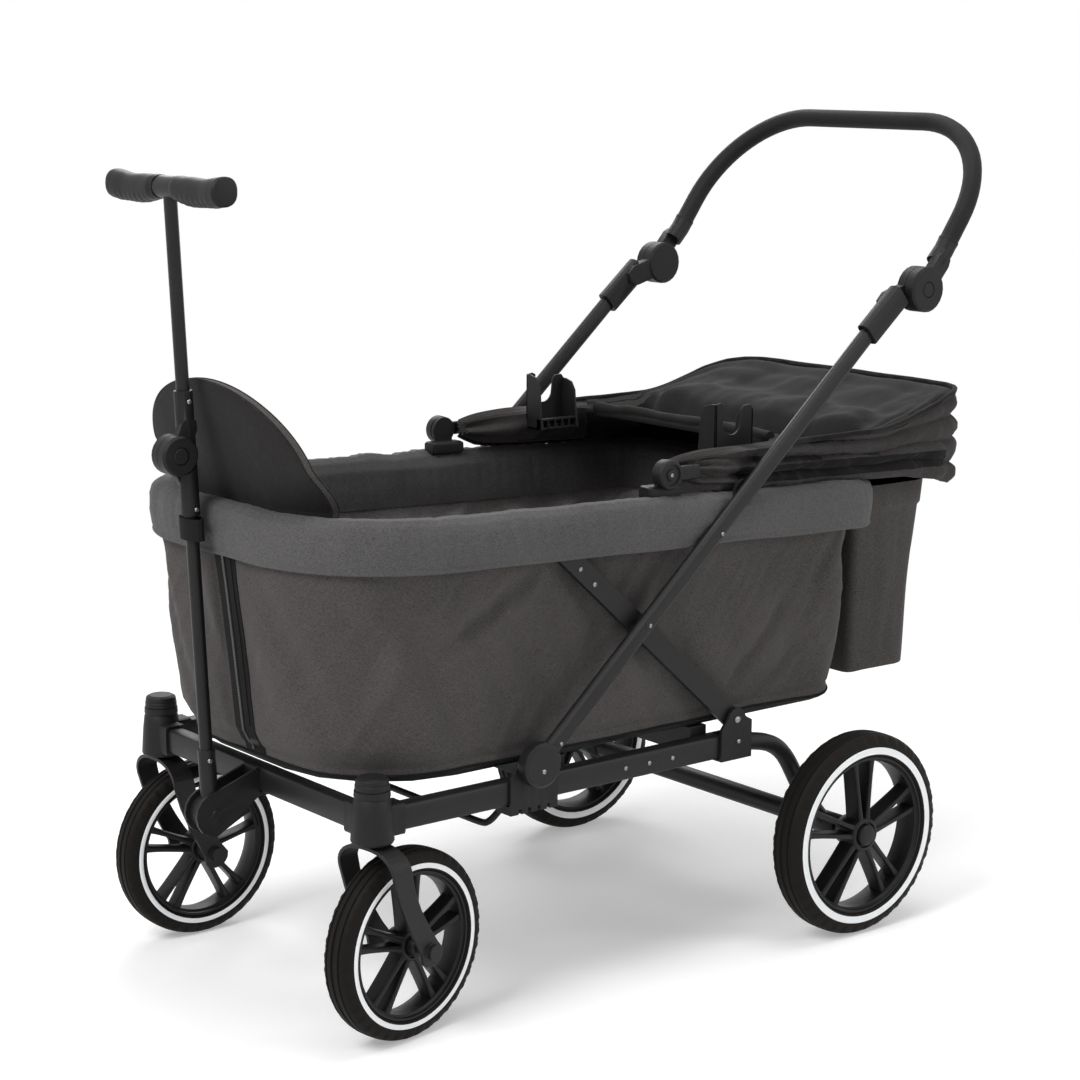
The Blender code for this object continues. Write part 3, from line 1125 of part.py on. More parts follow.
def ring(grow, rise, steps=6):
    """Rim outline moved outwards and up."""
    points = plan_outline(RIM_FRONT_X - grow, RIM_REAR_X + grow, RIM_HALF_WIDTH + grow,
                          RIM_FRONT_BEND + grow, RIM_REAR_BEND + grow, steps)
    return [Vector((point.x, point.y, rim_z(point.x) + rise)) for point in points]


def top_rim(empty):
    """Closed rim tube with the two plates that carry the arms' pivot pins."""
    path = ring(0.0, 0.0)
    tube = lofted("top_rim", sweep_sections(path, round_section(RIM_TUBE_RADIUS / cos(pi / 8), 8),
                                            (0, 0, 1), True), FRAME_PAINT, True)
    plate_outer = RIM_HALF_WIDTH + SLEEVE_REACH
    plate_inner = plate_outer - SLEEVE_WALL
    base = Vector((RIM_PIVOT.x, 0, rim_z(RIM_PIVOT.x)))
    for side, sign in SIDES.items():
        plate = side_prism("top_rim plate " + side, bar_outline(base, RIM_PIVOT, RIM_PLATE_HALF, 4),
                           plate_inner,
                           plate_outer, sign, FRAME_PAINT)
        combine(tube, plate, "UNION")
        lug = block("top_rim lug " + side,
                    (base.x - RIM_PLATE_HALF * 0.7,
                     min(sign * RIM_HALF_WIDTH, sign * (plate_inner + 0.001)), base.z - 0.006),
                    (base.x + RIM_PLATE_HALF * 0.7,
                     max(sign * RIM_HALF_WIDTH, sign * (plate_inner + 0.001)), base.z + 0.006),
                    FRAME_PAINT)
        combine(tube, lug, "UNION")
        pin = turned("top_rim pin " + side, [(plate_outer - 0.001, RIVET_RADIUS),
                                             (ARM_INNER_Y + ARM_THICKNESS * 0.5, RIVET_RADIUS)],
                     RIM_PIVOT, (0, sign, 0), STEEL, 12)
        combine(tube, pin, "UNION")
    return hang_on(tube, empty)


def rim_sleeve(empty):
    """Cloth sleeve over the rim tube, with an outer and an inner skirt."""
    inside = -RIM_TUBE_RADIUS - SEAT_GAP
    roof = SLEEVE_RISE
    outline = [(SLEEVE_REACH, -SLEEVE_DROP_OUTSIDE), (SLEEVE_REACH, roof - 0.008),
               (SLEEVE_REACH - 0.008, roof),
               (inside + 0.003, roof), (inside - SLEEVE_WALL, roof - 0.008),
               (inside - SLEEVE_WALL, -SLEEVE_DROP_INSIDE),
               (inside, -SLEEVE_DROP_INSIDE), (inside, roof - 0.0135), (inside + 0.006, roof - SLEEVE_WALL),
               (SLEEVE_REACH - 0.011, roof - SLEEVE_WALL), (SLEEVE_REACH - SLEEVE_WALL, roof - 0.0115),
               (SLEEVE_REACH - SLEEVE_WALL, -SLEEVE_DROP_OUTSIDE)]
    loops = [ring(grow, rise) for grow, rise in outline]
    sections = [[loop[index] for loop in loops] for index in range(len(loops[0]))]
    sleeve = lofted("rim_sleeve", sections, SLEEVE_CLOTH, True)
    base = Vector((RIM_PIVOT.x, 0, rim_z(RIM_PIVOT.x) - SLEEVE_DROP_OUTSIDE))
    for side, sign in SIDES.items():
        notch = side_prism("rim_sleeve notch " + side,
                           bar_outline(base, RIM_PIVOT, RIM_PLATE_HALF + RUN_GAP, 4),
                           RIM_HALF_WIDTH + RIM_TUBE_RADIUS + 0.001, RIM_HALF_WIDTH + SLEEVE_REACH + 0.01,
                           sign,
                           SLEEVE_CLOTH)
        combine(sleeve, notch, "DIFFERENCE")
    return hang_on(sleeve, empty)


def tub_loop(grow, z, share, steps=6):
    """Outline of the tub at one height; share is 0 at the floor and 1 at the rim."""
    drop = 1.0 - share
    front = RIM_FRONT_X - grow + BAG_FRONT_TAPER * drop
    rear = RIM_REAR_X + grow - BAG_REAR_TAPER * drop
    half = RIM_HALF_WIDTH + grow - BAG_SIDE_TAPER * drop
    points = plan_outline(front, rear, half, RIM_FRONT_BEND + grow, RIM_REAR_BEND + grow, steps)
    return [Vector((point.x, point.y, z(point.x) if callable(z) else z)) for point in points]


def bag():
    """Open cloth tub from the floor up to the rim tube."""
    def top(x):
        return rim_z(x) - RIM_TUBE_RADIUS - SEAT_GAP

    inner = BAG_TOP_REACH - BAG_WALL
    sections = [tub_loop(BAG_TOP_REACH, FLOOR_Z, 0.0), tub_loop(BAG_TOP_REACH, top, 1.0),
                tub_loop(inner, top, 1.0),
                tub_loop(inner, FLOOR_Z + BAG_WALL, 0.0)]
    return lofted("bag", sections, FABRIC)


def floor_tray():
    """Stiff floor board under the tub."""
    low = FLOOR_Z - SEAT_GAP - TRAY_THICKNESS
    grow = BAG_TOP_REACH - TRAY_MARGIN
    return lofted("floor_tray", [tub_loop(grow, low, 0.0, 4), tub_loop(grow, FLOOR_Z - SEAT_GAP, 0.0, 4)],
                  PLASTIC)


def pad_front(y, z):
    """Front face of the padded panel: it follows the rim and leans out above it."""
    bend = RIM_FRONT_BEND - RIM_TUBE_RADIUS - SLEEVE_WALL - SEAT_GAP
    flat = RIM_HALF_WIDTH - RIM_FRONT_BEND
    beyond = max(abs(y) - flat, 0.0)
    low = RIM_FRONT_X + RIM_FRONT_BEND - (bend * bend - beyond * beyond) ** 0.5
    low += PAD_CLEARANCE * min(beyond / 0.030, 1.0)
    foot = rim_z(RIM_FRONT_X) + SLEEVE_RISE + 0.002
    rise = max(z - foot, 0.0)
    share = min(rise / (PAD_TOP - foot), 1.0)
    return low - rise * sin(PAD_LEAN) / cos(PAD_LEAN) - share * abs(y) * PAD_STRAIGHTEN


def front_panel(empty):
    """Padded half-moon panel that stands up behind the front of the rim."""
    foot = rim_z(RIM_FRONT_X) + SLEEVE_RISE + 0.002
    levels = [(PAD_BOTTOM, 0.86), (foot, 0.90)]
    for share, size in ((0.25, 0.955), (0.50, 1.0), (0.68, 0.94), (0.83, 0.80), (0.94, 0.55), (1.0, 0.27)):
        levels.append((foot + (PAD_TOP - foot) * share, size))
    sections = []
    for index, (z, size) in enumerate(levels):
        half = PAD_HALF_WIDTH * size
        thin = 0.6 if index in (0, len(levels) - 1) else 1.0
        front = []
        back = []
        for step in range(9):
            y = half * (step / 4 - 1)
            crown = thin * (1.0 - 0.45 * abs(step / 4 - 1) ** 4)
            x = pad_front(y, z)
            front.append(Vector((x, y, z)))
            back.append(Vector((x + PAD_THICKNESS * crown, y, z)))
        sections.append(front + back[::-1])
    return hang_on(lofted("front_panel", sections, FABRIC), empty)


def rear_pocket(empty):
    """Open-topped cloth pocket behind the rim."""
    front = RIM_REAR_X + SLEEVE_REACH + SEAT_GAP
    top = RIM_HEIGHT - POCKET_BELOW_RIM

    def loop(grow, z, drop):
        points = plan_outline(front - grow, front + POCKET_DEPTH + grow - drop,
                              POCKET_HALF_WIDTH + grow - drop * 0.5,
                              0.012 + grow, 0.050 + grow, 3)
        return [Vector((point.x, point.y, z)) for point in points]

    sections = [loop(0.0, POCKET_BOTTOM, POCKET_TAPER), loop(0.0, top, 0.0), loop(-POCKET_WALL, top, 0.0),
                loop(-POCKET_WALL, POCKET_BOTTOM + POCKET_WALL, POCKET_TAPER)]
    return hang_on(lofted("rear_pocket", sections, FABRIC), empty)


# Canopy
CANOPY_HINGE = Vector((CANOPY_PIVOT_X, 0.0, rim_z(CANOPY_PIVOT_X) + SLEEVE_RISE + CANOPY_PIVOT_RISE))
CANOPY_LUG_Y = RIM_HALF_WIDTH + 0.0005
CANOPY_LUG_OUTER = CANOPY_LUG_Y + 0.007


def canopy_base(side, sign, empty):
    """Long plate on the rim sleeve with an upright lug and its pin."""
    outline = []
    for x, rise in ((CANOPY_PIVOT_X - 0.067, 0.0), (CANOPY_PIVOT_X + 0.051, 0.0),
                    (CANOPY_PIVOT_X + 0.051, 0.006),
                    (CANOPY_PIVOT_X - 0.067, 0.006)):
        outline.append((x, rim_z(x) + SLEEVE_RISE + SEAT_GAP + rise))
    plate = side_prism("canopy_base_" + side, outline, RIM_HALF_WIDTH - 0.0065,
                       RIM_HALF_WIDTH + SLEEVE_REACH - 0.0085,
                       sign, PLASTIC)
    foot = Vector((CANOPY_PIVOT_X, 0, rim_z(CANOPY_PIVOT_X) + SLEEVE_RISE + 0.020))
    lug = side_prism("canopy_base_%s lug" % side,
                     bar_outline(foot, CANOPY_HINGE, CANOPY_BARREL_RADIUS - 0.001, 5),
                     CANOPY_LUG_Y, CANOPY_LUG_OUTER, sign, PLASTIC)
    trim = side_prism("canopy_base_%s trim" % side,
                      [(CANOPY_PIVOT_X - 0.05, foot.z - 0.05), (CANOPY_PIVOT_X + 0.05, foot.z - 0.05),
                       (CANOPY_PIVOT_X + 0.05, rim_z(CANOPY_PIVOT_X + 0.05) + SLEEVE_RISE + 0.001),
                       (CANOPY_PIVOT_X - 0.05, rim_z(CANOPY_PIVOT_X - 0.05) + SLEEVE_RISE + 0.001)],
                      CANOPY_LUG_Y - 0.01, CANOPY_LUG_OUTER + 0.01, sign, PLASTIC)
    combine(lug, trim, "DIFFERENCE")
    combine(plate, lug, "UNION")
    pin = turned("canopy_base_%s pin" % side, [(CANOPY_LUG_OUTER - 0.001, 0.005),
                                               (CANOPY_LUG_OUTER + 0.008, 0.005)],
                 CANOPY_HINGE, (0, sign, 0), PLASTIC, 12)
    combine(plate, pin, "UNION")
    return hang_on(plate, empty)


def canopy(empty):
    """Canopy folded back: side bands to the hinges, a cover and a stack of folds at the rear."""
    inner_y = CANOPY_HALF_WIDTH - CANOPY_BAND
    wide = CANOPY_HALF_WIDTH
    rear = CANOPY_REAR_X
    cover = CANOPY_COVER_X
    start = CANOPY_PIVOT_X + 0.026
    plan = [((start, wide), (start, inner_y), 0.014),
            ((start + 0.036, wide), (start + 0.036, inner_y), 0.006),
            ((cover * 0.5, wide), (cover * 0.5, inner_y), 0.005),
            ((cover - 0.02, wide), (cover - 0.025, inner_y), 0.005),
            ((cover + 0.10, wide), (cover - 0.005, inner_y - 0.02), 0.005),
            ((rear - 0.15, wide), (cover, inner_y - 0.06), 0.004),
            ((rear - 0.06, wide - 0.016), (cover, inner_y - 0.10), -0.014),
            ((rear - 0.016, wide - 0.062), (cover, inner_y - 0.135), -0.018),
            ((rear, wide - 0.15), (cover, inner_y - 0.17), -0.019), ((rear, 0.0), (cover, 0.0), -0.019)]
    side_low = CANOPY_HINGE.z + CANOPY_SIDE_ABOVE_HINGE
    inside_low = CANOPY_HINGE.z + CANOPY_INSIDE_ABOVE_HINGE
    stations = []
    for outer, inner, lift in plan:
        share = (outer[0] - start) / (rear - start)
        bottom = rim_z(outer[0]) + SLEEVE_RISE + lift
        top = side_low + (CANOPY_TOP - side_low) * share ** 0.8
        inner_top = inside_low + (CANOPY_TOP - CANOPY_COVER_FALL - inside_low) * min(share * 1.5, 1.0)
        stations.append((Vector((outer[0], outer[1], 0)), Vector((inner[0], inner[1], 0)), bottom, top,
                         inner_top))
    half = []
    for outer, inner, bottom, top, inner_top in stations:
        run = inner - outer
        into = run.normalized()
        loop = []
        for step in range(2 * CANOPY_FOLDS + 1):
            tuck = CANOPY_FOLD_DEPTH if step % 2 == 0 else 0.0
            z = bottom + (top - bottom) * step / (2 * CANOPY_FOLDS)
            loop.append(outer + into * tuck + Vector((0, 0, z)))
        loop.append(outer + run * 0.45 + Vector((0, 0, max(top, inner_top) + 0.001)))
        loop.append(inner + Vector((0, 0, inner_top)))
        if run.length < CANOPY_NARROW:
            floor = max(bottom + 0.004, inner_top - CANOPY_BAND_THICKNESS)
            under = bottom + 0.002
        else:
            floor = inner_top - CANOPY_COVER_THICKNESS
            under = inner_top - CANOPY_COVER_MIDDLE
        loop.append(inner + Vector((0, 0, floor)))
        loop.append(outer + run * 0.42 + Vector((0, 0, under)))
        half.append(loop)
    flipped = [[Vector((point.x, -point.y, point.z)) for point in loop] for loop in reversed(half[:-1])]
    cover_body = lofted("canopy", half + flipped, FABRIC)
    for side, sign in SIDES.items():
        reach = CANOPY_LUG_OUTER + SEAT_GAP
        arm = side_prism("canopy arm " + side,
                         bar_outline(CANOPY_HINGE, CANOPY_HINGE + Vector((0.045, 0, 0)), 0.010, 3),
                         reach, reach + CANOPY_BARREL_WIDTH - 0.004, sign, PLASTIC)
        outer = reach + CANOPY_BARREL_WIDTH
        barrel = turned("canopy barrel " + side,
                        [(reach, CANOPY_BARREL_RADIUS), (outer - 0.002, CANOPY_BARREL_RADIUS),
                         (outer, CANOPY_BARREL_RADIUS - 0.003)],
                        CANOPY_HINGE, (0, sign, 0), PLASTIC, 20)
        bore = turned("canopy bore " + side, [(reach - 0.004, 0.005 + SEAT_GAP),
                                              (reach + 0.009, 0.005 + SEAT_GAP)],
                      CANOPY_HINGE, (0, sign, 0), PLASTIC, 12)
        combine(barrel, arm, "UNION")
        combine(barrel, bore, "DIFFERENCE")
        combine(cover_body, barrel, "UNION")
    return hang_on(cover_body, empty)


def canopy_clip(side, sign, empty):
    """Box clip on the canopy band, open towards the middle, with a ribbed sole."""
    outer = CANOPY_HALF_WIDTH - CANOPY_BAND - SEAT_GAP
    inner = outer - CLIP_DEPTH

    def cell(name, x0, x1, y0, y1, z0, z1):
        return block(name, (x0, min(sign * y0, sign * y1), z0), (x1, max(sign * y0, sign * y1), z1), PLASTIC)

    clip = cell("canopy_clip_" + side, CLIP_X, CLIP_X + CLIP_LENGTH, inner, outer, CLIP_Z,
                CLIP_Z + CLIP_HEIGHT)
    room = cell("canopy_clip_%s room" % side, CLIP_X + CLIP_WALL, CLIP_X + CLIP_LENGTH - CLIP_WALL,
                inner - 0.01,
                outer - CLIP_WALL, CLIP_Z + 0.012, CLIP_Z + CLIP_HEIGHT - CLIP_WALL)
    combine(clip, room, "DIFFERENCE")
    pitch = (CLIP_LENGTH - CLIP_WALL) / CLIP_CELLS
    for index in range(CLIP_CELLS):
        x0 = CLIP_X + CLIP_WALL + pitch * index
        slot = cell("canopy_clip_%s cell %d" % (side, index), x0, x0 + pitch - CLIP_WALL, inner + CLIP_WALL,
                    outer - CLIP_WALL, CLIP_Z - 0.01, CLIP_Z + 0.009)
        combine(clip, slot, "DIFFERENCE")
    return hang_on(clip, empty)


def build_all():
    """Put every piece on its joint."""
    build_chassis()
    build_casters()
    build_rear_wheels()
    floor_tray()
    bag()
    pull_bracket()
    struts = joint_empty("frame_fold", (STRUT_ROOT_X, 0, PIVOT_Z))
    arms = joint_empty("arm_cross", CROSS_POINT, struts)
    slider = joint_empty("slider_turn", (FOOT_X, 0, PIVOT_Z), arms)
    handle = joint_empty("push_handle_hinge", HINGE_POINT, arms)
    rim = joint_empty("rim_turn", RIM_PIVOT, arms)
    hood = joint_empty("canopy_fold", CANOPY_HINGE, rim)
    for side, sign in SIDES.items():
        fold_strut(side, sign, struts)
        push_arm(side, sign, arms)
        slider_block(side, sign, slider)
        arm_collar(side, sign, arms)
        handle_hinge(side, sign, handle)
        hinge_button(side, sign, handle)
        canopy_base(side, sign, rim)
        canopy_clip(side, sign, hood)
    release_bar(slider)
    push_handle(handle)
    top_rim(rim)
    rim_sleeve(rim)
    front_panel(rim)
    rear_pocket(rim)
    canopy(hood)
    tilt = joint_empty("pull_handle_tilt", PULL_PIVOT)
    fold = joint_empty("pull_handle_fold", PULL_HINGE, tilt)
    pull_lower_tube(tilt)
    handle_strap(tilt)
    pull_joint(tilt, fold)
    pull_top(fold)


build_all()
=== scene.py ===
import json
from functools import partialmethod
from math import atan2, cos, exp, hypot, pi, radians, sin, sqrt

import bmesh
import bpy
from mathutils import Matrix, Vector, noise

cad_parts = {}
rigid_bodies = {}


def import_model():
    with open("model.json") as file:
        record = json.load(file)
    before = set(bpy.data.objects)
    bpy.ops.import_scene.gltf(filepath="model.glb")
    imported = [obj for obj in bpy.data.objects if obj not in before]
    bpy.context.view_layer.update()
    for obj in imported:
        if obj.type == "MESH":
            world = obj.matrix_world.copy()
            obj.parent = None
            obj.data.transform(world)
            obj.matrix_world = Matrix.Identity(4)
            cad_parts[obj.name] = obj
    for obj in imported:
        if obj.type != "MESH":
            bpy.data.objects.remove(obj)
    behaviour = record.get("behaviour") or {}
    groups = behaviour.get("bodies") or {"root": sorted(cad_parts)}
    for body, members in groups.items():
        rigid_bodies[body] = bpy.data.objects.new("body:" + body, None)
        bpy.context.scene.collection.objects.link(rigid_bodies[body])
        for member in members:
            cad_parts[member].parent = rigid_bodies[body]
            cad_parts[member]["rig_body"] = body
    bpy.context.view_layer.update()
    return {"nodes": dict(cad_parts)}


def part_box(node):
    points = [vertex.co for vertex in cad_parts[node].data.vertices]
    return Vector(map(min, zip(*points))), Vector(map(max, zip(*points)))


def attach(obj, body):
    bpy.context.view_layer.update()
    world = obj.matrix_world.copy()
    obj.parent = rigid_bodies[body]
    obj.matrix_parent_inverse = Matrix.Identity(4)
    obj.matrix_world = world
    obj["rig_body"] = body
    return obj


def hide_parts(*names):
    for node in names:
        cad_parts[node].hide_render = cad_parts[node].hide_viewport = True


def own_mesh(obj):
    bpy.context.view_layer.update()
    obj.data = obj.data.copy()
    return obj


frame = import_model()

# Sizes that follow the solids, in metres
RAIL_Y = 0.263
REAR_RADIUS = 0.15
FRONT_RADIUS = 0.128
REAR_AXLE = Vector((0.3175, 0, REAR_RADIUS))
REAR_TYRE_Y = 0.3252
CASTER_X = -0.4985
CASTER_TRAIL = 0.055
CASTER_TURN = {"left": radians(9), "right": radians(1)}
RIM_Z = 0.6401
RIM_SLOPE = 0.033
RIM_FRONT_X = -0.5455
RIM_REAR_X = 0.4005
RIM_HALF_WIDTH = 0.25
RIM_FRONT_BEND = 0.16
RIM_REAR_BEND = 0.06
FLOOR_Z = 0.3445
ARM_Y = 0.288
SIDES = {"left": -1, "right": 1}
WHITE = (1, 1, 1, 1)


# Camera, floor and light
def build_stage():
    """Camera at the photograph's place, a pale floor that fades to white, and soft lamps."""
    yaw = radians(38.7526)
    pitch = radians(-10.9103)
    roll = radians(0.3723)
    forward = Vector((sin(yaw) * cos(pitch), cos(yaw) * cos(pitch), sin(pitch)))
    level = Vector((cos(yaw), -sin(yaw), 0))
    upright = level.cross(forward)
    right = level * cos(roll) + upright * sin(roll)
    up = upright * cos(roll) - level * sin(roll)
    camera_data = bpy.data.cameras.new("camera")
    camera_data.sensor_width = 36
    camera_data.lens = 84.17
    camera_data.clip_start = 0.1
    camera_data.clip_end = 60
    camera = bpy.data.objects.new("camera", camera_data)
    bpy.context.scene.collection.objects.link(camera)
    turn = Matrix((right, up, -forward)).transposed().to_4x4()
    camera.matrix_world = Matrix.Translation((-2.269, -2.8065, 1.267)) @ turn
    bpy.context.scene.camera = camera

    world = bpy.data.worlds.new("studio")
    world.use_nodes = True
    bpy.context.scene.world = world
    sheet = Finish(world.node_tree)
    lit = sheet.node("ShaderNodeBackground", Color=WHITE, Strength=0.3)
    shown = sheet.node("ShaderNodeBackground", Color=WHITE, Strength=1)
    mixed = sheet.node("ShaderNodeMixShader", sheet.seen(), lit, shown)
    world.node_tree.links.new(mixed.outputs[0], world.node_tree.nodes["World Output"].inputs[0])

    mesh = bmesh.new()
    bmesh.ops.create_grid(mesh, x_segments=1, y_segments=1, size=9.0)
    piece_from("studio_floor", mesh, ["floor"], 0.0)
    for name, place, size, power in (
            ("key", (-3, -0.6, 3.2), 1.8, 95), ("side", (1.8, -3.2, 1.9), 1.6, 26),
            ("back", (1.6, 3, 3), 2.4, 60), ("top", (0.2, -0.3, 4.2), 2.6, 60)):
        lamp_data = bpy.data.lights.new(name, "AREA")
        lamp_data.shape = "DISK"
        lamp_data.size = size
        lamp_data.energy = power
        lamp = bpy.data.objects.new(name, lamp_data)
        lamp.location = place
        lamp.rotation_euler = (Vector((0, 0, 0.45)) - Vector(place)).to_track_quat("-Z", "Y").to_euler()
        bpy.context.scene.collection.objects.link(lamp)


# Shader maths
class Value:
    """A socket that can be added, multiplied and so on."""

    def __init__(self, tree, socket):
        self.tree = tree
        self.socket = socket

    def join(self, operation, *others):
        node = self.tree.nodes.new("ShaderNodeMath")
        node.operation = operation
        for index, item in enumerate((self, *others)):
            if isinstance(item, Value):
                self.tree.links.new(item.socket, node.inputs[index])
            else:
                node.inputs[index].default_value = item
        return Value(self.tree, node.outputs[0])

    __add__ = partialmethod(join, "ADD")
    __sub__ = partialmethod(join, "SUBTRACT")
    __mul__ = partialmethod(join, "MULTIPLY")
    __pow__ = partialmethod(join, "POWER")

    def wave(self):
        """Ribs between 0 and 1."""
        return self.join("SINE") * 0.5 + 0.5

    def clamped(self):
        node = self.tree.nodes.new("ShaderNodeClamp")
        self.tree.links.new(self.socket, node.inputs[0])
        return Value(self.tree, node.outputs[0])


class Finish:
    """Builds the nodes of one surface."""

    def __init__(self, tree):
        self.tree = tree

    def node(self, kind, *ordered, **named):
        """Make a node, then link or set its sockets."""
        made = self.tree.nodes.new(kind)
        for key, item in [*enumerate(ordered), *named.items()]:
            if isinstance(item, Value):
                self.tree.links.new(item.socket, made.inputs[key])
            elif isinstance(item, bpy.types.Node):
                self.tree.links.new(item.outputs[0], made.inputs[key])
            elif item is not None:
                made.inputs[key].default_value = item
        return made

    def pick(self, node, name):
        return Value(self.tree, node.outputs[name])

    def place(self, scale=(1, 1, 1)):
        """Object coordinates, stretched."""
        spot = self.pick(self.node("ShaderNodeTexCoord"), "Object")
        return self.pick(self.node("ShaderNodeMapping", Vector=spot, Scale=scale), "Vector")

    def axis(self, name):
        """One of the object coordinates."""
        return self.pick(self.node("ShaderNodeSeparateXYZ", self.place()), name)

    def seen(self):
        """1 where the eye meets the surface directly, in a reflection or through a clear thing."""
        path = self.node("ShaderNodeLightPath")
        camera, glossy, clear = [self.pick(path, "Is %s Ray" % kind)
                                 for kind in ("Camera", "Glossy", "Transmission")]
        return (camera + glossy + clear).clamped()

    def grain(self, where, scale, detail=2, rough=0.5):
        """Cloudy values about one half."""
        made = self.node("ShaderNodeTexNoise", Vector=where, Scale=scale, Detail=detail, Roughness=rough)
        return self.pick(made, "Fac")

    def blend(self, share, low, high):
        """Colour between two colours."""
        mixed = self.tree.nodes.new("ShaderNodeMix")
        mixed.data_type = "RGBA"
        self.tree.links.new(share.socket, mixed.inputs[0])
        mixed.inputs[6].default_value = (*low, 1)
        mixed.inputs[7].default_value = (*high, 1)
        return Value(self.tree, mixed.outputs[2])

    def bump(self, height, strength, distance, under=None):
        return self.node("ShaderNodeBump", Strength=strength, Distance=distance, Height=height, Normal=under)


def surface(name, build, **fixed):
    """A material whose Principled sockets come from build(sheet); fixed sockets are set directly."""
    material = bpy.data.materials.new(name)
    material.use_nodes = True
    sheet = Finish(material.node_tree)
    body = material.node_tree.nodes["Principled BSDF"]
    for socket, setting in fixed.items():
        body.inputs[socket.replace("_", " ")].default_value = setting
    for socket, item in build(sheet).items():
        source = item.socket if isinstance(item, Value) else item.outputs[0]
        material.node_tree.links.new(source, body.inputs[socket])
    return material


def floor_white():
    """White floor that keeps only soft shadows."""
    material = bpy.data.materials.new("studio floor white")
    material.use_nodes = True
    tree = material.node_tree
    sheet = Finish(tree)
    matte = sheet.node("ShaderNodeBsdfDiffuse", Color=(0.86, 0.86, 0.86, 1))
    glow = sheet.node("ShaderNodeEmission", Color=WHITE, Strength=0.3)
    near = sheet.node("ShaderNodeAddShader", matte, glow)
    plain = sheet.node("ShaderNodeEmission", Color=WHITE, Strength=1)
    x, y = sheet.axis("X"), sheet.axis("Y")
    far = ((x * x + y * y) ** 0.5 - 1.3) * 0.9
    mixed = sheet.node("ShaderNodeMixShader", far.clamped() * sheet.seen(), near, plain)
    tree.links.new(mixed.outputs[0], tree.nodes["Material Output"].inputs[0])
    return material


def melange(name, dark, light, weave=1, lip_shade=False):
    """Woven cloth of dark and pale threads, clouded; on request it paints shade on the canopy cover's strip
    in front of its lip.
    """
    def build(sheet):
        spot = sheet.place()
        warp = sheet.grain(sheet.place((260, 260, 1900)), 1, 3, 0.6)
        weft = sheet.grain(sheet.place((1900, 1900, 260)), 1, 3, 0.6)
        flecks = (((warp * 0.5 + weft * 0.5) - 0.5) * 3.2 + 0.5).clamped()
        share = (flecks * 0.82 + sheet.grain(spot, 5, 3) * 0.3 - 0.08).clamped()
        if lip_shade:
            # painted shade: darkens the recessed strip of the cover in front of its lip, x from 0.262 to
            # 0.396
            x = sheet.axis("X")
            strip = (x * -110 + 43.6).clamped() * (x * 90 - 23.6).clamped()
            share = share * (strip * -0.85 + 1)
        threads = sheet.grain(sheet.place((900, 900, 900)), 1)
        under = sheet.bump(sheet.grain(spot, 26, 3), 0.35, 0.004 * weave)
        return {"Base Color": sheet.blend(share, dark, light), "Roughness": flecks * 0.1 + 0.8,
                "Normal": sheet.bump(threads, 0.5, 0.0006 * weave, under)}
    return surface(name, build, Sheen_Weight=0.06, Sheen_Roughness=0.45, Specular_IOR_Level=0.1)


def coated(name, dark, light, cloud, rough, pits=None, **fixed):
    """Hard skin clouded by grain of (scale, detail): rough is its spread and its least value,
    pits the scale, strength and depth of its fine grain."""
    def build(sheet):
        spot = sheet.place()
        share = sheet.grain(spot, *cloud)
        made = {"Base Color": sheet.blend(share, dark, light), "Roughness": share * rough[0] + rough[1]}
        if pits:
            made["Normal"] = sheet.bump(sheet.grain(spot, pits[0]), *pits[1:])
        return made
    return surface(name, build, **fixed)


def foam_skin():
    """Closed-cell grip foam, matte with tiny pores."""
    def build(sheet):
        spot = sheet.place()
        pores = sheet.grain(spot, 1100, 3, 0.7)
        colour = sheet.blend(sheet.grain(spot, 18), (0.0085, 0.0083, 0.0083), (0.0145, 0.014, 0.0138))
        return {"Base Color": colour, "Roughness": pores * 0.2 + 0.5,
                "Normal": sheet.bump(pores, 0.5, 0.0006)}
    return surface("grip foam", build, Specular_IOR_Level=0.16)


def woven_tape(name, dark, light):
    """Ribbed woven strap."""
    def build(sheet):
        ribs = (sheet.axis("Z") * 3900).wave()
        fuzz = sheet.grain(sheet.place(), 1500)
        return {"Base Color": sheet.blend(ribs * 0.5 + fuzz * 0.5, dark, light),
                "Roughness": fuzz * 0.1 + 0.75, "Normal": sheet.bump(ribs, 0.6, 0.0005)}
    return surface(name, build, Specular_IOR_Level=0.12)


def zip_teeth():
    """Fine black zip teeth."""
    def build(sheet):
        teeth = (sheet.axis("Z") * 2200).wave()
        return {"Base Color": sheet.blend(teeth, (0.006, 0.006, 0.006), (0.03, 0.03, 0.031)),
                "Roughness": teeth * 0.2 + 0.35, "Normal": sheet.bump(teeth, 0.8, 0.0008)}
    return surface("zip teeth", build)


# Mesh helpers
def piece_from(name, mesh, looks, smooth_angle):
    """Finish a bmesh as one object with its painted surfaces."""
    data = bpy.data.meshes.new(name)
    mesh.to_mesh(data)
    mesh.free()
    data.shade_smooth()
    if smooth_angle > 0:
        data.set_sharp_from_angle(angle=radians(smooth_angle))
    for look in looks:
        data.materials.append(paint[look])
    made = bpy.data.objects.new(name, data)
    bpy.context.scene.collection.objects.link(made)
    return made


def stand_in(made, body, slot, *nodes):
    """Let a piece ride on its body in place of the CAD nodes it was made from."""
    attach(made, body)
    if nodes:
        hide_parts(*nodes)


def body_of(node):
    """Body that carries a CAD node."""
    return frame["nodes"][node]["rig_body"]


def fit(name, mesh, looks, smooth_angle, body, slot):
    """Finish a bmesh that the CAD has no node for."""
    stand_in(piece_from(name, mesh, looks, smooth_angle), body, slot)


def form(node, mesh, looks, smooth_angle, slot):
    """Finish a bmesh as the shape of one CAD node."""
    made = piece_from(node + "_form", mesh, looks, smooth_angle)
    stand_in(made, body_of(node), slot, node)
    return made


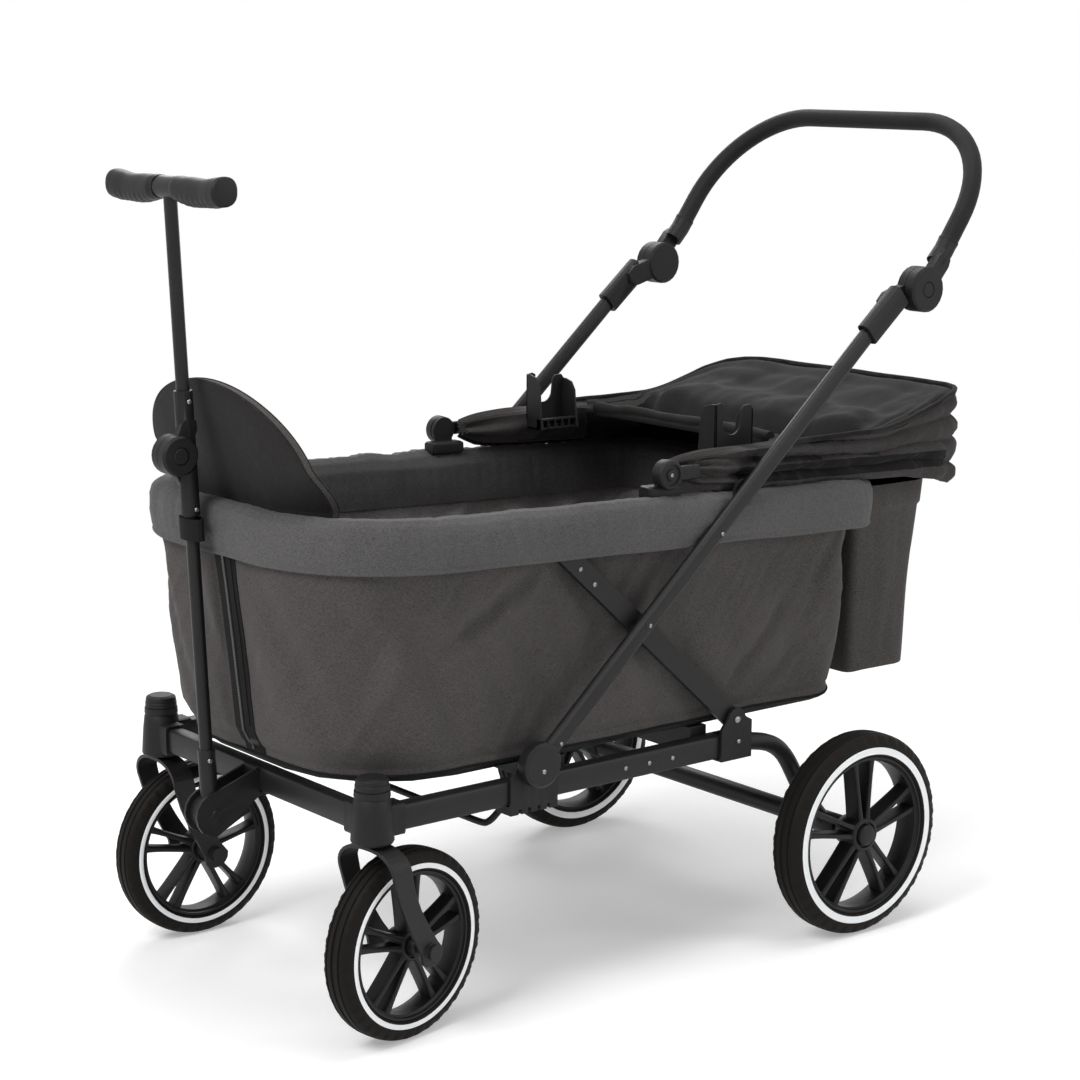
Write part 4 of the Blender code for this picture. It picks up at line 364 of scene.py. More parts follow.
def fit_tub(name, mesh, looks, smooth_angle, slot, *nodes):
    """Finish a piece of the tub on its own copy of the mesh, riding on the chassis."""
    made = piece_from(name, mesh, looks, smooth_angle)
    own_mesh(made)
    stand_in(made, "chassis", slot, *nodes)


def soften(made, width):
    """Round a piece's edges by a small bevel."""
    soft = made.modifiers.new("soft edges", "BEVEL")
    soft.width = width
    soft.segments = 2
    return soft


def unit(value):
    """The value, held between 0 and 1."""
    return min(max(value, 0), 1)


def stand_at(mesh, place, axis):
    """Lay local Z along an axis, local X level, and move the mesh to its place."""
    axis = Vector(axis).normalized()
    helper = Vector((0, 0, 1)) if abs(axis.z) < 0.9 else Vector((1, 0, 0))
    across = helper.cross(axis).normalized()
    turn = Matrix((across, axis.cross(across), axis)).transposed().to_4x4()
    bmesh.ops.transform(mesh, matrix=Matrix.Translation(Vector(place)) @ turn, verts=mesh.verts)
    return mesh


def lathe(mesh, profile, place, axis, steps=64, closed=False):
    """Spin (height, radius) points round an axis."""
    part = bmesh.new()
    spots = [part.verts.new((radius, 0, height)) for height, radius in profile]
    edges = [part.edges.new(pair) for pair in zip(spots, spots[1:])]
    if closed:
        edges.append(part.edges.new((spots[-1], spots[0])))
    bmesh.ops.spin(part, geom=part.verts[:] + part.edges[:], cent=(0, 0, 0), axis=(0, 0, 1), dvec=(0, 0, 0),
                   angle=2 * pi, steps=steps, use_merge=True, use_duplicate=False)
    bmesh.ops.remove_doubles(part, verts=part.verts, dist=1e-6)
    if not closed:
        bmesh.ops.holes_fill(part, edges=[edge for edge in part.edges if edge.is_boundary], sides=0)
    bmesh.ops.recalc_face_normals(part, faces=part.faces)
    return pour(mesh, stand_at(part, place, axis))


def pour(mesh, part):
    """Add one bmesh to another."""
    data = bpy.data.meshes.new("poured")
    part.to_mesh(data)
    part.free()
    mesh.from_mesh(data)
    bpy.data.meshes.remove(data)
    return mesh


def swept(mesh, points, radius, sides=12, smooth_run=True, radii=None, cyclic=False):
    """Round bar along points, made as a bevelled curve and turned to mesh."""
    curve = bpy.data.curves.new("run", "CURVE")
    curve.dimensions = "3D"
    run = curve.splines.new("NURBS" if smooth_run else "POLY")
    run.points.add(len(points) - 1)
    for index, point in enumerate(points):
        run.points[index].co = (*point, 1)
        run.points[index].radius = radii[index] if radii else 1
    if smooth_run:
        run.order_u = 4
        run.use_endpoint_u = not cyclic
        run.resolution_u = 6
    run.use_cyclic_u = cyclic
    curve.bevel_depth = radius
    curve.bevel_resolution = max(sides // 4 - 1, 0)
    curve.use_fill_caps = True
    holder = bpy.data.objects.new("run", curve)
    bpy.context.scene.collection.objects.link(holder)
    bpy.context.view_layer.update()
    data = bpy.data.meshes.new_from_object(holder.evaluated_get(bpy.context.evaluated_depsgraph_get()))
    part = bmesh.new()
    part.from_mesh(data)
    bmesh.ops.remove_doubles(part, verts=part.verts, dist=1e-6)
    bmesh.ops.recalc_face_normals(part, faces=part.faces)
    bpy.data.objects.remove(holder)
    bpy.data.curves.remove(curve)
    bpy.data.meshes.remove(data)
    return pour(mesh, part)


def skin(mesh, place, across, along, closed=True, caps=True, thickness=0, index=0, turn_at=None):
    """Lay a grid on place(u, v), u and v from 0 to 1; closed joins u = 0 to u = 1, caps fill
    the open ends, and faces past turn_at take the next surface."""
    part = bmesh.new()
    bmesh.ops.create_grid(part, x_segments=across, y_segments=along, size=0.5)
    for face in part.faces:
        past = turn_at is not None and face.calc_center_median().y + 0.5 > turn_at
        face.material_index = index + (1 if past else 0)
    for vert in part.verts:
        u = vert.co.x + 0.5
        vert.co = place(0 if closed and u > 0.99999 else u, unit(vert.co.y + 0.5))
    if closed:
        bmesh.ops.remove_doubles(part, verts=part.verts, dist=1e-6)
    if caps:
        before = set(part.faces)
        bmesh.ops.holes_fill(part, edges=[edge for edge in part.edges if edge.is_boundary], sides=0)
        for face in part.faces:
            if face not in before:
                face.material_index = index
    bmesh.ops.recalc_face_normals(part, faces=part.faces)
    if thickness:
        bmesh.ops.solidify(part, geom=part.faces[:], thickness=thickness)
    return pour(mesh, part)


def dressed(node, look, slot, bevel=0.0008):
    """A welded, softly bevelled copy of a CAD node that stands for it."""
    part = bmesh.new()
    part.from_mesh(frame["nodes"][node].data)
    bmesh.ops.remove_doubles(part, verts=part.verts, dist=1e-6)
    bmesh.ops.dissolve_limit(part, angle_limit=radians(1.0), verts=part.verts, edges=part.edges)
    made = piece_from(node + "_dress", part, [look], 32)
    soft = soften(made, bevel)
    soft.limit_method = "ANGLE"
    soft.angle_limit = radians(38)
    soft.harden_normals = False
    stand_in(made, body_of(node), slot, node)


def oval(share, half_a, half_b, power=0.5):
    """Point on a rounded rectangle, share from 0 to 1 round it."""
    angle = 2 * pi * share
    a, b = cos(angle), sin(angle)
    return half_a * abs(a) ** power * (1 if a >= 0 else -1), half_b * abs(b) ** power * (1 if b >= 0 else -1)


# Wheels
def tyre_mesh(place, axis, radius, width, depth, ring):
    """Tyre with a scalloped shoulder, three tread grooves and a white band on each side."""
    half = width / 2
    inner = radius - depth
    scallops, notches = 40, 80
    one_side = [(half * 0.86, inner), (half * 0.95, inner + 0.0012), (half * 0.985, ring[0] - 0.0012),
                (half * 0.99, ring[0]), (half * 1.012, ring[0] + 0.0007), (half * 1.012, ring[1] - 0.0007),
                (half * 0.985, ring[1]), (half * 0.98, ring[1] + 0.0016),
                (half * 0.955, radius - depth * 0.42), (half * 0.93, radius - depth * 0.32),
                (half * 0.88, radius - depth * 0.22), (half * 0.8, radius - depth * 0.13),
                (half * 0.68, radius - depth * 0.065),
                (half * 0.54, radius - 0.0008), (half * 0.5, radius - 0.0024), (half * 0.44, radius - 0.0024),
                (half * 0.4, radius - 0.0003), (half * 0.12, radius), (half * 0.08, radius - 0.002)]
    profile = one_side + [(-height, reach) for height, reach in reversed(one_side)]
    mesh = lathe(bmesh.new(), profile, (0, 0, 0), (0, 0, 1), 240, True)
    for face in mesh.faces:
        middle = face.calc_center_median()
        in_band = ring[0] + 0.0002 < hypot(middle.x, middle.y) < ring[1] - 0.0002
        face.material_index = 1 if in_band and abs(middle.z) > half * 0.9 else 0
    for vert in mesh.verts:
        reach = hypot(vert.co.x, vert.co.y)
        angle = atan2(vert.co.y, vert.co.x)
        share = (reach - (radius - depth * 0.44)) / (depth * 0.4)
        if 0 < share < 1 and abs(vert.co.z) > half * 0.5:
            ridge = abs(sin(angle * scallops / 2)) ** 0.5
            dip = 0.0016 * (1 - ridge) + 0.0007 * (sin(angle * notches) > 0.6)
            shrink = 1 - dip * sin(pi * share) / reach
            vert.co.x *= shrink
            vert.co.y *= shrink
            vert.co.z -= (1 if vert.co.z > 0 else -1) * dip * sin(pi * share)
    return stand_at(mesh, place, axis)


def wheel_mesh(place, axis, bead, width, hub, reach):
    """Dished rim, five pairs of tapered spokes and a capped hub."""
    half = width * 0.42
    lip = 0.009
    mesh = bmesh.new()
    rim = [(-half, bead), (-half, bead - lip * 0.45), (-half * 0.86, bead - lip * 0.55),
           (-half * 0.4, bead - lip * 0.95), (half * 0.2, bead - lip), (half * 0.74, bead - lip * 0.85),
           (half * 0.86, bead - lip * 0.5),
           (half * 1.02, bead - lip * 0.42), (half * 1.04, bead - lip * 0.1), (half * 0.98, bead)]
    lathe(mesh, rim, (0, 0, 0), (0, 0, 1), 120, True)
    cap = [(-half, 0.004), (-half, hub * 0.74), (-half * 0.9, hub * 0.86), (-half * 0.3, hub),
           (half * 0.86, hub), (half * 0.98, hub * 0.96), (half * 1.02, hub * 0.9), (half * 1.02, hub * 0.78),
           (half * 0.86, hub * 0.76), (half * 0.86, hub * 0.66), (half + reach * 0.62, hub * 0.62),
           (half + reach * 0.86, hub * 0.55), (half + reach * 0.98, hub * 0.4), (half + reach, hub * 0.16),
           (half + reach, 0.001)]
    lathe(mesh, cap, (0, 0, 0), (0, 0, 1), 64)
    for pair in range(5):
        middle = 2 * pi * pair / 5 + pi / 2
        for side in (-1, 1):
            start = middle + side * 0.31
            end = middle + side * 0.155

            def blade(u, v):
                near = Vector((cos(start), sin(start), 0)) * hub * 0.8
                far = Vector((cos(end), sin(end), 0)) * (bead - lip * 0.5)
                line = near.lerp(far, v)
                across = (far - near).normalized().cross(Vector((0, 0, 1)))
                flare = 1 + 0.5 * abs(2 * v - 0.9) ** 3
                a, b = oval(u, 0.0038 * flare, width * 0.29 * (1 - 0.14 * v), 0.42)
                return line + across * a + Vector((0, 0, b + half * (0.12 + 0.14 * (1 - v))))
            skin(mesh, blade, 24, 12)
    return stand_at(mesh, place, axis)


def build_wheels():
    """Four wheels, each with its tyre, turning on its own body."""
    for side, sign in SIDES.items():
        turn = CASTER_TURN[side]
        rear = REAR_AXLE + Vector((0, sign * REAR_TYRE_Y, 0))
        front = Vector((CASTER_X + cos(turn) * CASTER_TRAIL, sign * RAIL_Y + sin(turn) * CASTER_TRAIL,
                        FRONT_RADIUS))
        for end, place, out, tyre, wheel in (
                ("rear", rear, (0, sign, 0), (REAR_RADIUS, 0.0524, 0.033, (0.121, 0.1312)),
                 (0.117, 0.0524, 0.025, 0.006)),
                ("front", front, (sin(turn), -cos(turn), 0), (FRONT_RADIUS, 0.046, 0.028, (0.1035, 0.1102)),
                 (0.1, 0.046, 0.021, 0.012))):
            form("%s_tyre_%s" % (end, side), tyre_mesh(place, out, *tyre), ["tyre", "ring"], 45, "tyre")
            form("%s_wheel_%s" % (end, side), wheel_mesh(place, out, *wheel), ["wheel"], 40, "wheel")


# Cloth forms
def rim_z(x):
    """Height of the rim tube's centre line."""
    return RIM_Z - RIM_SLOPE * x


def plan_at(share, front, rear, half, front_bend, rear_bend):
    """Point and outward direction on a rounded outline, by share of its length from the front middle."""
    mirrored = share > 0.5
    if mirrored:
        share = 1 - share
    across = half - front_bend
    along = rear - rear_bend - front - front_bend
    turn = front_bend * pi / 2
    turn_back = rear_bend * pi / 2
    run = share * 2 * (across + turn + along + turn_back + half - rear_bend)
    if run < across:
        spot = (front, -run, -1, 0)
    elif run < across + turn:
        t = (run - across) / front_bend
        spot = (front + front_bend * (1 - cos(t)), -across - front_bend * sin(t), -cos(t), -sin(t))
    elif run < across + turn + along:
        spot = (front + front_bend + run - across - turn, -half, 0, -1)
    elif run < across + turn + along + turn_back:
        t = (run - across - turn - along) / rear_bend
        spot = (rear - rear_bend * (1 - sin(t)), -half + rear_bend * (1 - cos(t)), sin(t), -cos(t))
    else:
        spot = (rear, -half + rear_bend + run - across - turn - along - turn_back, 1, 0)
    x, y, out_x, out_y = spot
    return (x, -y, out_x, -out_y) if mirrored else spot


def rim_at(share, grow):
    """Plan point on the rim outline moved outwards."""
    return plan_at(share, RIM_FRONT_X - grow, RIM_REAR_X + grow, RIM_HALF_WIDTH + grow, RIM_FRONT_BEND + grow,
                   RIM_REAR_BEND + grow)


def along_line(points, share):
    """Smooth value on a list of (share, value...) rows."""
    for low, high in zip(points, points[1:]):
        if share <= high[0]:
            t = unit((share - low[0]) / (high[0] - low[0]))
            t = t * t * (3 - 2 * t)
            return [a + (b - a) * t for a, b in zip(low[1:], high[1:])]
    return list(points[-1][1:])


def crumple(place, stretch, seed):
    """Smooth noise between about -1 and 1 in stretched space; what place leaves out is 0."""
    x, y, z = [*(a * b for a, b in zip(place, stretch)), 0, 0][:3]
    return noise.noise(Vector((x + seed, y, z)))


def rim_sleeve_piece():
    """Padded band over the rim tube: puffed roof, stitched hem and pulled wrinkles."""
    rows = [(0, 0.0255, -0.036), (0.03, 0.03, -0.0375), (0.07, 0.0305, -0.034), (0.085, 0.029, -0.0315),
            (0.1, 0.03, -0.029), (0.22, 0.0328, -0.008), (0.34, 0.0315, 0.012), (0.42, 0.027, 0.0245),
            (0.5, 0.016, 0.0315), (0.58, 0.002, 0.0325), (0.66, -0.0105, 0.0255), (0.74, -0.0175, 0.012),
            (0.86, -0.018, -0.016), (0.93, -0.017, -0.036), (1, -0.016, -0.046)]

    def place(u, v):
        grow, rise = along_line(rows, v)
        x, y, out_x, out_y = rim_at(u, grow)
        run = u * 60
        puff = crumple((run, v * 3), (0.9, 1), 3) * 0.0042
        pull = crumple((run + v * 0.8, v), (4.2, 1.4), 11) * 0.003 * sin(pi * v)
        lift = crumple((run,), (0.35,), 5) * 0.003 * (1 - v)
        push = puff * sin(pi * v) + pull
        return Vector((x + out_x * push, y + out_y * push, rim_z(x) + rise + lift + push * 0.6 * sin(pi * v)))
    # the sleeve's inner side, past turn_at 0.56, takes a darker copy of the rim cloth: painted shade
    mesh = skin(bmesh.new(), place, 520, 44, caps=False, thickness=0.003, turn_at=0.56)
    made = form("rim_sleeve", mesh, ["rim cloth", "inner rim cloth"], 60, "rim_cloth")


def bag_at(u, v):
    """Point on the tub's outer skin, v from the floor (0) to the rim (1)."""
    drop = 1 - v
    reach = 0.008
    x, y, out_x, out_y = plan_at(
        u, RIM_FRONT_X - reach + 0.036 * drop, RIM_REAR_X + reach - 0.04 * drop,
        RIM_HALF_WIDTH + reach - 0.01 * drop, RIM_FRONT_BEND + reach, RIM_REAR_BEND + reach)
    top = rim_z(x) - 0.0115
    return x, y, out_x, out_y, FLOOR_Z + (top - FLOOR_Z) * v


# Pulled folds of the tub's sides: x and z of both ends, depth and half width
TUB_CREASES = ((-0.225, 0.6, -0.4, 0.49, 0.0075, 0.013), (-0.53, 0.61, -0.44, 0.48, 0.0065, 0.012),
               (0.25, 0.5, 0.11, 0.362, 0.0075, 0.011), (0.31, 0.455, 0.165, 0.345, 0.006, 0.009),
               (-0.445, 0.59, -0.49, 0.4, 0.005, 0.016), (0.04, 0.61, -0.06, 0.43, 0.006, 0.014),
               (-0.11, 0.52, -0.16, 0.38, 0.0045, 0.013), (0.33, 0.59, 0.27, 0.45, 0.0055, 0.012))


def creases(x, z):
    """Depth of the pulled folds at a place on the tub's side, each with a low ridge beside it."""
    deep = 0
    for x0, z0, x1, z1, amount, width in TUB_CREASES:
        run = hypot(x1 - x0, z1 - z0)
        share = ((x - x0) * (x1 - x0) + (z - z0) * (z1 - z0)) / run ** 2
        if 0 < share < 1:
            off = ((x - x0) * (z1 - z0) - (z - z0) * (x1 - x0)) / run / width
            deep += amount * sin(pi * share) ** 0.7 * (exp(-off * off) - 0.5 * exp(-(off + 1.7) ** 2))
    return deep


def bag_skin(u, v):
    """Point on the tub's cloth: slack panels, pulled folds and a rolled hem."""
    bulge = 0.0055
    x, y, out_x, out_y, z = bag_at(u, v)
    run = u * 24
    mid = sin(pi * v) ** 0.7
    front = unit((-x - 0.34) / 0.12)
    slack = 0.011 * mid * crumple((run, v * 1.3), (0.55, 1), 1.7)
    hang = 0.015 * mid * crumple((run + v * 1.1, v * 0.5), (2.1, 1), 8.3)
    fine = 0.003 * mid * crumple((run - v * 2, v * 1.6), (5.5, 1), 21)
    tug = 0.0055 * mid * abs(crumple((run * 1.5 - v * 2.6, 0.2 * v), (1.6, 1), 41)) ** 0.5
    hem = -0.003 * max(0, 1 - abs(v - 0.045) / 0.02)
    calm = 1 - 0.92 * exp(-((((u - 0.01 + 0.5) % 1) - 0.5) / 0.024) ** 2)
    side = unit((abs(y) - 0.16) / 0.06)
    push = (slack + hang + fine - tug - 0.002 * mid) * calm + hem
    push -= creases(x, z) * side * min(v / 0.06, 1)
    if push >= 0:
        push = bulge * (1 - 2.718 ** (-push / bulge))
    push += 0.016 * front * min(v / 0.12, 1)
    sag = -0.006 * max(0, 1 - v / 0.1) * (0.6 + crumple((run,), (0.8,), 4))
    return Vector((x + out_x * push, y + out_y * push, z + sag))


def bag_piece():
    """Cloth tub with its lining and hem."""
    def place(u, v):
        if v < 0.5:
            return bag_skin(u, v * 2)
        share = 1 - (v - 0.5) * 2
        out_x, out_y = bag_at(u, share)[2:4]
        deep = 0.006 + 0.003 * sin(pi * share) * (crumple((u * 24, share), (1.4, 2), 31) + 0.6)
        spot = bag_skin(u, share)
        z = max(spot.z, FLOOR_Z) + 0.006 * (1 - share)
        return Vector((spot.x - out_x * deep, spot.y - out_y * deep, z))
    # the inner layer and its floor take the lining, whose colour is lightened past the outer cloth as painted
    # light inside the tub
    mesh = skin(bmesh.new(), place, 480, 130, turn_at=0.505)
    for face in mesh.faces:
        if len(face.verts) > 4 and face.calc_center_median().z > FLOOR_Z + 0.002:
            face.material_index = 1
    fit_tub("bag_form", mesh, ["cloth", "lining"], 60, "cloth", "bag")
    hem = [bag_skin(step / 220, 0.012) + Vector((0, 0, -0.001)) for step in range(220)]
    trim = swept(bmesh.new(), hem, 0.0024, 8, False, cyclic=True)
    fit_tub("bag_hem", trim, ["tape"], 60, "webbing")


def front_zip():
    """Zip placket down the tub's front with its teeth, a hanging tape and a side-release buckle."""
    def strip(low_u, high_u, low_v, high_v, lift, bulge):
        def place(u, v):
            a, b = oval(u, 0.5, 0.5, 0.3)
            spot_u = low_u + (high_u - low_u) * (a + 0.5)
            spot = spot_u % 1, low_v + (high_v - low_v) * v
            push = lift + bulge * (b + 0.5)
            return bag_skin(*spot) + Vector((*bag_at(*spot)[2:4], 0)) * push
        return place
    mesh = bmesh.new()
    skin(mesh, strip(0.001, 0.0195, 0.02, 0.93, -0.0005, 0.0022), 40, 90)
    skin(mesh, strip(0.0085, 0.0105, 0.03, 0.92, 0.0012, 0.0022), 20, 150, index=1)
    skin(mesh, strip(0.0125, 0.0165, 0.15, 0.92, 0.0016, 0.0014), 24, 80)
    fit_tub("front_zip", mesh, ["tape", "zip"], 60, "webbing")
    mesh = bmesh.new()

    def buckle(u, v):
        a, b = oval(u, 0.5, 0.5, 0.35)
        waist = 1 - 0.18 * sin(pi * v) ** 2
        x, y, _, _, z = bag_at(0.0145, 0.06 + 0.16 * v)
        return Vector((x - 0.005 - 0.0075 * (b + 0.5), y + 0.026 * a * waist, z))
    skin(mesh, buckle, 32, 24)
    fit_tub("front_buckle", mesh, ["plastic"], 40, "plastic")


# Standing panel at the front, in metres
PANEL_FOOT = rim_z(RIM_FRONT_X) + 0.032
PANEL_TOP = 0.849
PANEL_HALF_WIDTH = 0.186
PANEL_LEAN = 0.3153
PANEL_INSET = 0.0168


def half_moon(v):
    """Half-width share of the standing panel at a share of its height."""
    if v < 0.3:
        return 0.95 + 0.05 * v / 0.3
    return sqrt(max(1 - ((v - 0.3) / 0.7) ** 2, 0))


def pad_front(y, z):
    """Front face of the standing panel, following the rim and leaning out."""
    bend = RIM_FRONT_BEND - PANEL_INSET
    beyond = min(max(abs(y) - (RIM_HALF_WIDTH - RIM_FRONT_BEND), 0), bend * 0.98)
    low = RIM_FRONT_X + RIM_FRONT_BEND - sqrt(bend * bend - beyond * beyond) + 0.002 * min(beyond / 0.03, 1)
    rise = max(z - PANEL_FOOT, 0)
    share = min(rise / 0.064, 1)
    straight = share * share * (3 - 2 * share) * 0.9
    return low + (RIM_FRONT_X + PANEL_INSET - low) * straight - rise * PANEL_LEAN


def front_panel_piece():
    """Half-moon cushion: full faces, a flat gusset all round and piped edges."""
    def face(aside, v, deep):
        z = PANEL_FOOT + (PANEL_TOP - PANEL_FOOT) * v
        return Vector((pad_front(aside, z) + deep, aside, z))

    def place(u, t):
        v = 1 - (1 - t) ** 2
        half = max(PANEL_HALF_WIDTH * half_moon(v), 0.003)
        deep, aside = plan_at(u, 0, 0.013, half, 0.0025, 0.0025)[:2]
        edge = 1 - min(abs(aside) / half, 1) ** 4
        puff = (0.0035 * edge * (1 - v ** 6)) * (deep - 0.0065) / 0.0065
        spot = face(aside, min(v, 0.9995), deep + puff)
        ripple = 0.0014 * crumple(spot, (14, 14, 9), 2)
        ripple += 0.0009 * crumple(spot, (40, 30, 40), 6) * (1 - edge)
        return spot + Vector((ripple, 0, 0))
    mesh = bmesh.new()
    skin(mesh, place, 260, 90)

    def low(u, v):
        spot = place(u, 0)
        drop = v * (PANEL_FOOT - 0.6)
        aside = spot.y * (1 - 0.05 * v)
        deep = (spot.x - pad_front(spot.y, PANEL_FOOT)) * (1 - 0.3 * v)
        return Vector((pad_front(aside, PANEL_FOOT) + deep, aside, PANEL_FOOT - drop))
    skin(mesh, low, 260, 10)
    for facet in mesh.faces:
        facet.material_index = 1 if abs(facet.normal.x + 0.3 * facet.normal.z) < 0.6 else 0
    made = form("front_panel", mesh, ["panel cloth", "cloth"], 60, "cloth")
    trim = bmesh.new()
    for deep in (0.001, 0.012):
        line = []
        for step in range(161):
            t = pi * step / 160
            v = sin(t) ** 0.8
            aside = (-1 if t < pi / 2 else 1) * (PANEL_HALF_WIDTH * half_moon(v) - 0.001)
            line.append(face(aside, min(v, 0.9995), deep))
        swept(trim, line, 0.0013, 8, False)
    fit("front_panel_piping", trim, ["panel cloth"], 60, "rim", "cloth")


def rear_pocket_piece():
    """Open pocket behind the rim, with a turned-over band and sagging corners."""
    front = RIM_REAR_X + 0.0303
    length, half_width, low, high = 0.168, 0.2, 0.345, 0.632

    def place(u, v):
        inside = v > 0.5
        level = (1 - v) * 2 if inside else v * 2
        grow = -0.004 if inside else 0
        drop = 0.02 * (1 - level)
        x, y, out_x, out_y = plan_at(u, front - grow, front + length + grow - drop,
                                     half_width + grow - drop * 0.5, 0.012 + grow, 0.05 + grow)
        free = unit((x - front - 0.01) / 0.05)
        mid = sin(pi * level) ** 0.8
        push = free * mid * (0.006 * crumple((u * 12 + level, level), (1.6, 1), 9) +
                             0.0025 * crumple((u * 12, level * 1.5), (5, 1), 15))
        band = 0.0035 * (1 if level > 0.865 else 0) * (0 if inside else 1) * free
        z = low + (high - low) * level + (0.004 if inside else 0) * (1 - level)
        z += free * (1 - level) * 0.004 * crumple((u * 12, 0), (1.2, 1), 2.2)
        return Vector((x + out_x * (push + band), y + out_y * (push + band), z))
    form("rear_pocket", skin(bmesh.new(), place, 240, 110), ["cloth"], 60, "cloth")


# Canopy
HINGE = Vector((-0.0035, 0, 0.703215))
CANOPY_REAR = 0.6245
CANOPY_FRONT = 0.2575
CANOPY_HALF = 0.262
CANOPY_SIDE_TOP = 0.7245
CANOPY_REAR_TOP = 0.77
COVER_TOP = 0.7225


def canopy_station(u):
    """Outer and inner plan points, bottom and top of the folded canopy, u from a hinge to the rear middle."""
    half, front, rear = CANOPY_HALF, CANOPY_FRONT, CANOPY_REAR
    rows = [(0, 0.0225, half, 0.0225, 0.215, 0.014), (0.05, 0.0585, half, 0.0585, 0.215, 0.006),
            (0.14, 0.129, half, 0.129, 0.215, 0.005), (0.28, 0.2375, half, 0.2325, 0.215, 0.005),
            (0.42, 0.3575, half, 0.2525, 0.195, 0.005), (0.52, 0.4745, half, front, 0.155, 0.004),
            (0.59, 0.538, 0.261, front, 0.135, -0.004), (0.65, 0.583, 0.25, front, 0.115, -0.014),
            (0.7, 0.607, 0.231, front, 0.098, -0.018), (0.75, 0.6195, 0.203, front, 0.08, -0.019),
            (0.82, rear, 0.158, front, 0.058, -0.019), (1, rear, 0, front, 0, -0.019)]
    for low, high in zip(rows, rows[1:]):
        if u <= high[0]:
            t = (u - low[0]) / (high[0] - low[0])
            out_x, out_y, in_x, in_y, lift = [a + (b - a) * t for a, b in zip(low[1:], high[1:])]
            break
    rise = unit((out_x - 0.4) / (CANOPY_REAR - 0.4))
    top = CANOPY_SIDE_TOP + (CANOPY_REAR_TOP - CANOPY_SIDE_TOP) * rise * rise * (3 - 2 * rise)
    return Vector((out_x, out_y, 0)), Vector((in_x, in_y, 0)), rim_z(out_x) + 0.03 + lift, top


def slab(mesh, outline, run):
    """Plate with a given outline, drawn out along run."""
    part = bmesh.new()
    plate = part.faces.new([part.verts.new(point) for point in outline])
    drawn = bmesh.ops.extrude_face_region(part, geom=[plate])
    moved = [item for item in drawn["geom"] if isinstance(item, bmesh.types.BMVert)]
    bmesh.ops.translate(part, vec=run, verts=moved)
    bmesh.ops.recalc_face_normals(part, faces=part.faces)
    return pour(mesh, part)


def clip_piece(side, sign):
    """Open clip on the band: a notched back, two cheeks and a sole with five cells."""
    x0, x1, z0, z1 = 0.127, 0.199, 0.7, 0.785
    outer, inner = sign * 0.2147, sign * 0.1787
    wall = 0.003
    mesh = bmesh.new()
    dip = [(x1 - 0.024 - 0.017 * (1 - cos(t)), z0 + 0.054 - 0.016 * sin(t)) for t in
           [pi * step / 10 for step in range(11)]]
    back = [(x0, z0), (x1, z0), (x1, z1 - 0.012), (x1 - 0.005, z1 - 0.006), (x1 - 0.018, z1 - 0.007),
            (x1 - 0.022, z1 - 0.012)] + dip + [(x0 + 0.016, z1 - 0.003), (x0 + 0.01, z1), (x0, z1 - 0.002)]
    slab(mesh, [(x, outer, z) for x, z in back], (0, -sign * wall, 0))
    for x, top in ((x0, z1 - 0.002), (x1 - wall, z1 - 0.012)):
        cheek = [(outer, z0), (inner - sign * 0.004, z0), (inner, z0 + 0.02),
                 (inner + sign * 0.004, top - 0.016), (inner + sign * 0.012, top - 0.004),
                 (outer - sign * 0.01, top), (outer, top)]
        slab(mesh, [(x, y, z) for y, z in cheek], (wall, 0, 0))
    slab(mesh, [(x0, outer, z0), (x1, outer, z0), (x1, inner, z0), (x0, inner, z0)], (0, 0, wall))
    bars = [(x0, x1, z0 + 0.0135, z0 + 0.0165)]
    for step in range(6):
        x = x0 + (x1 - x0 - 0.0024) * step / 5
        bars.append((x, x + 0.0024, z0, z0 + 0.015))
    for left, right, low, high in bars:
        corners = [(left, low), (right, low), (right, high), (left, high)]
        slab(mesh, [(x, inner, z) for x, z in corners], (0, sign * 0.01, 0))
    soften(form("canopy_clip_" + side, mesh, ["plastic"], 40, "plastic"), 0.0005)


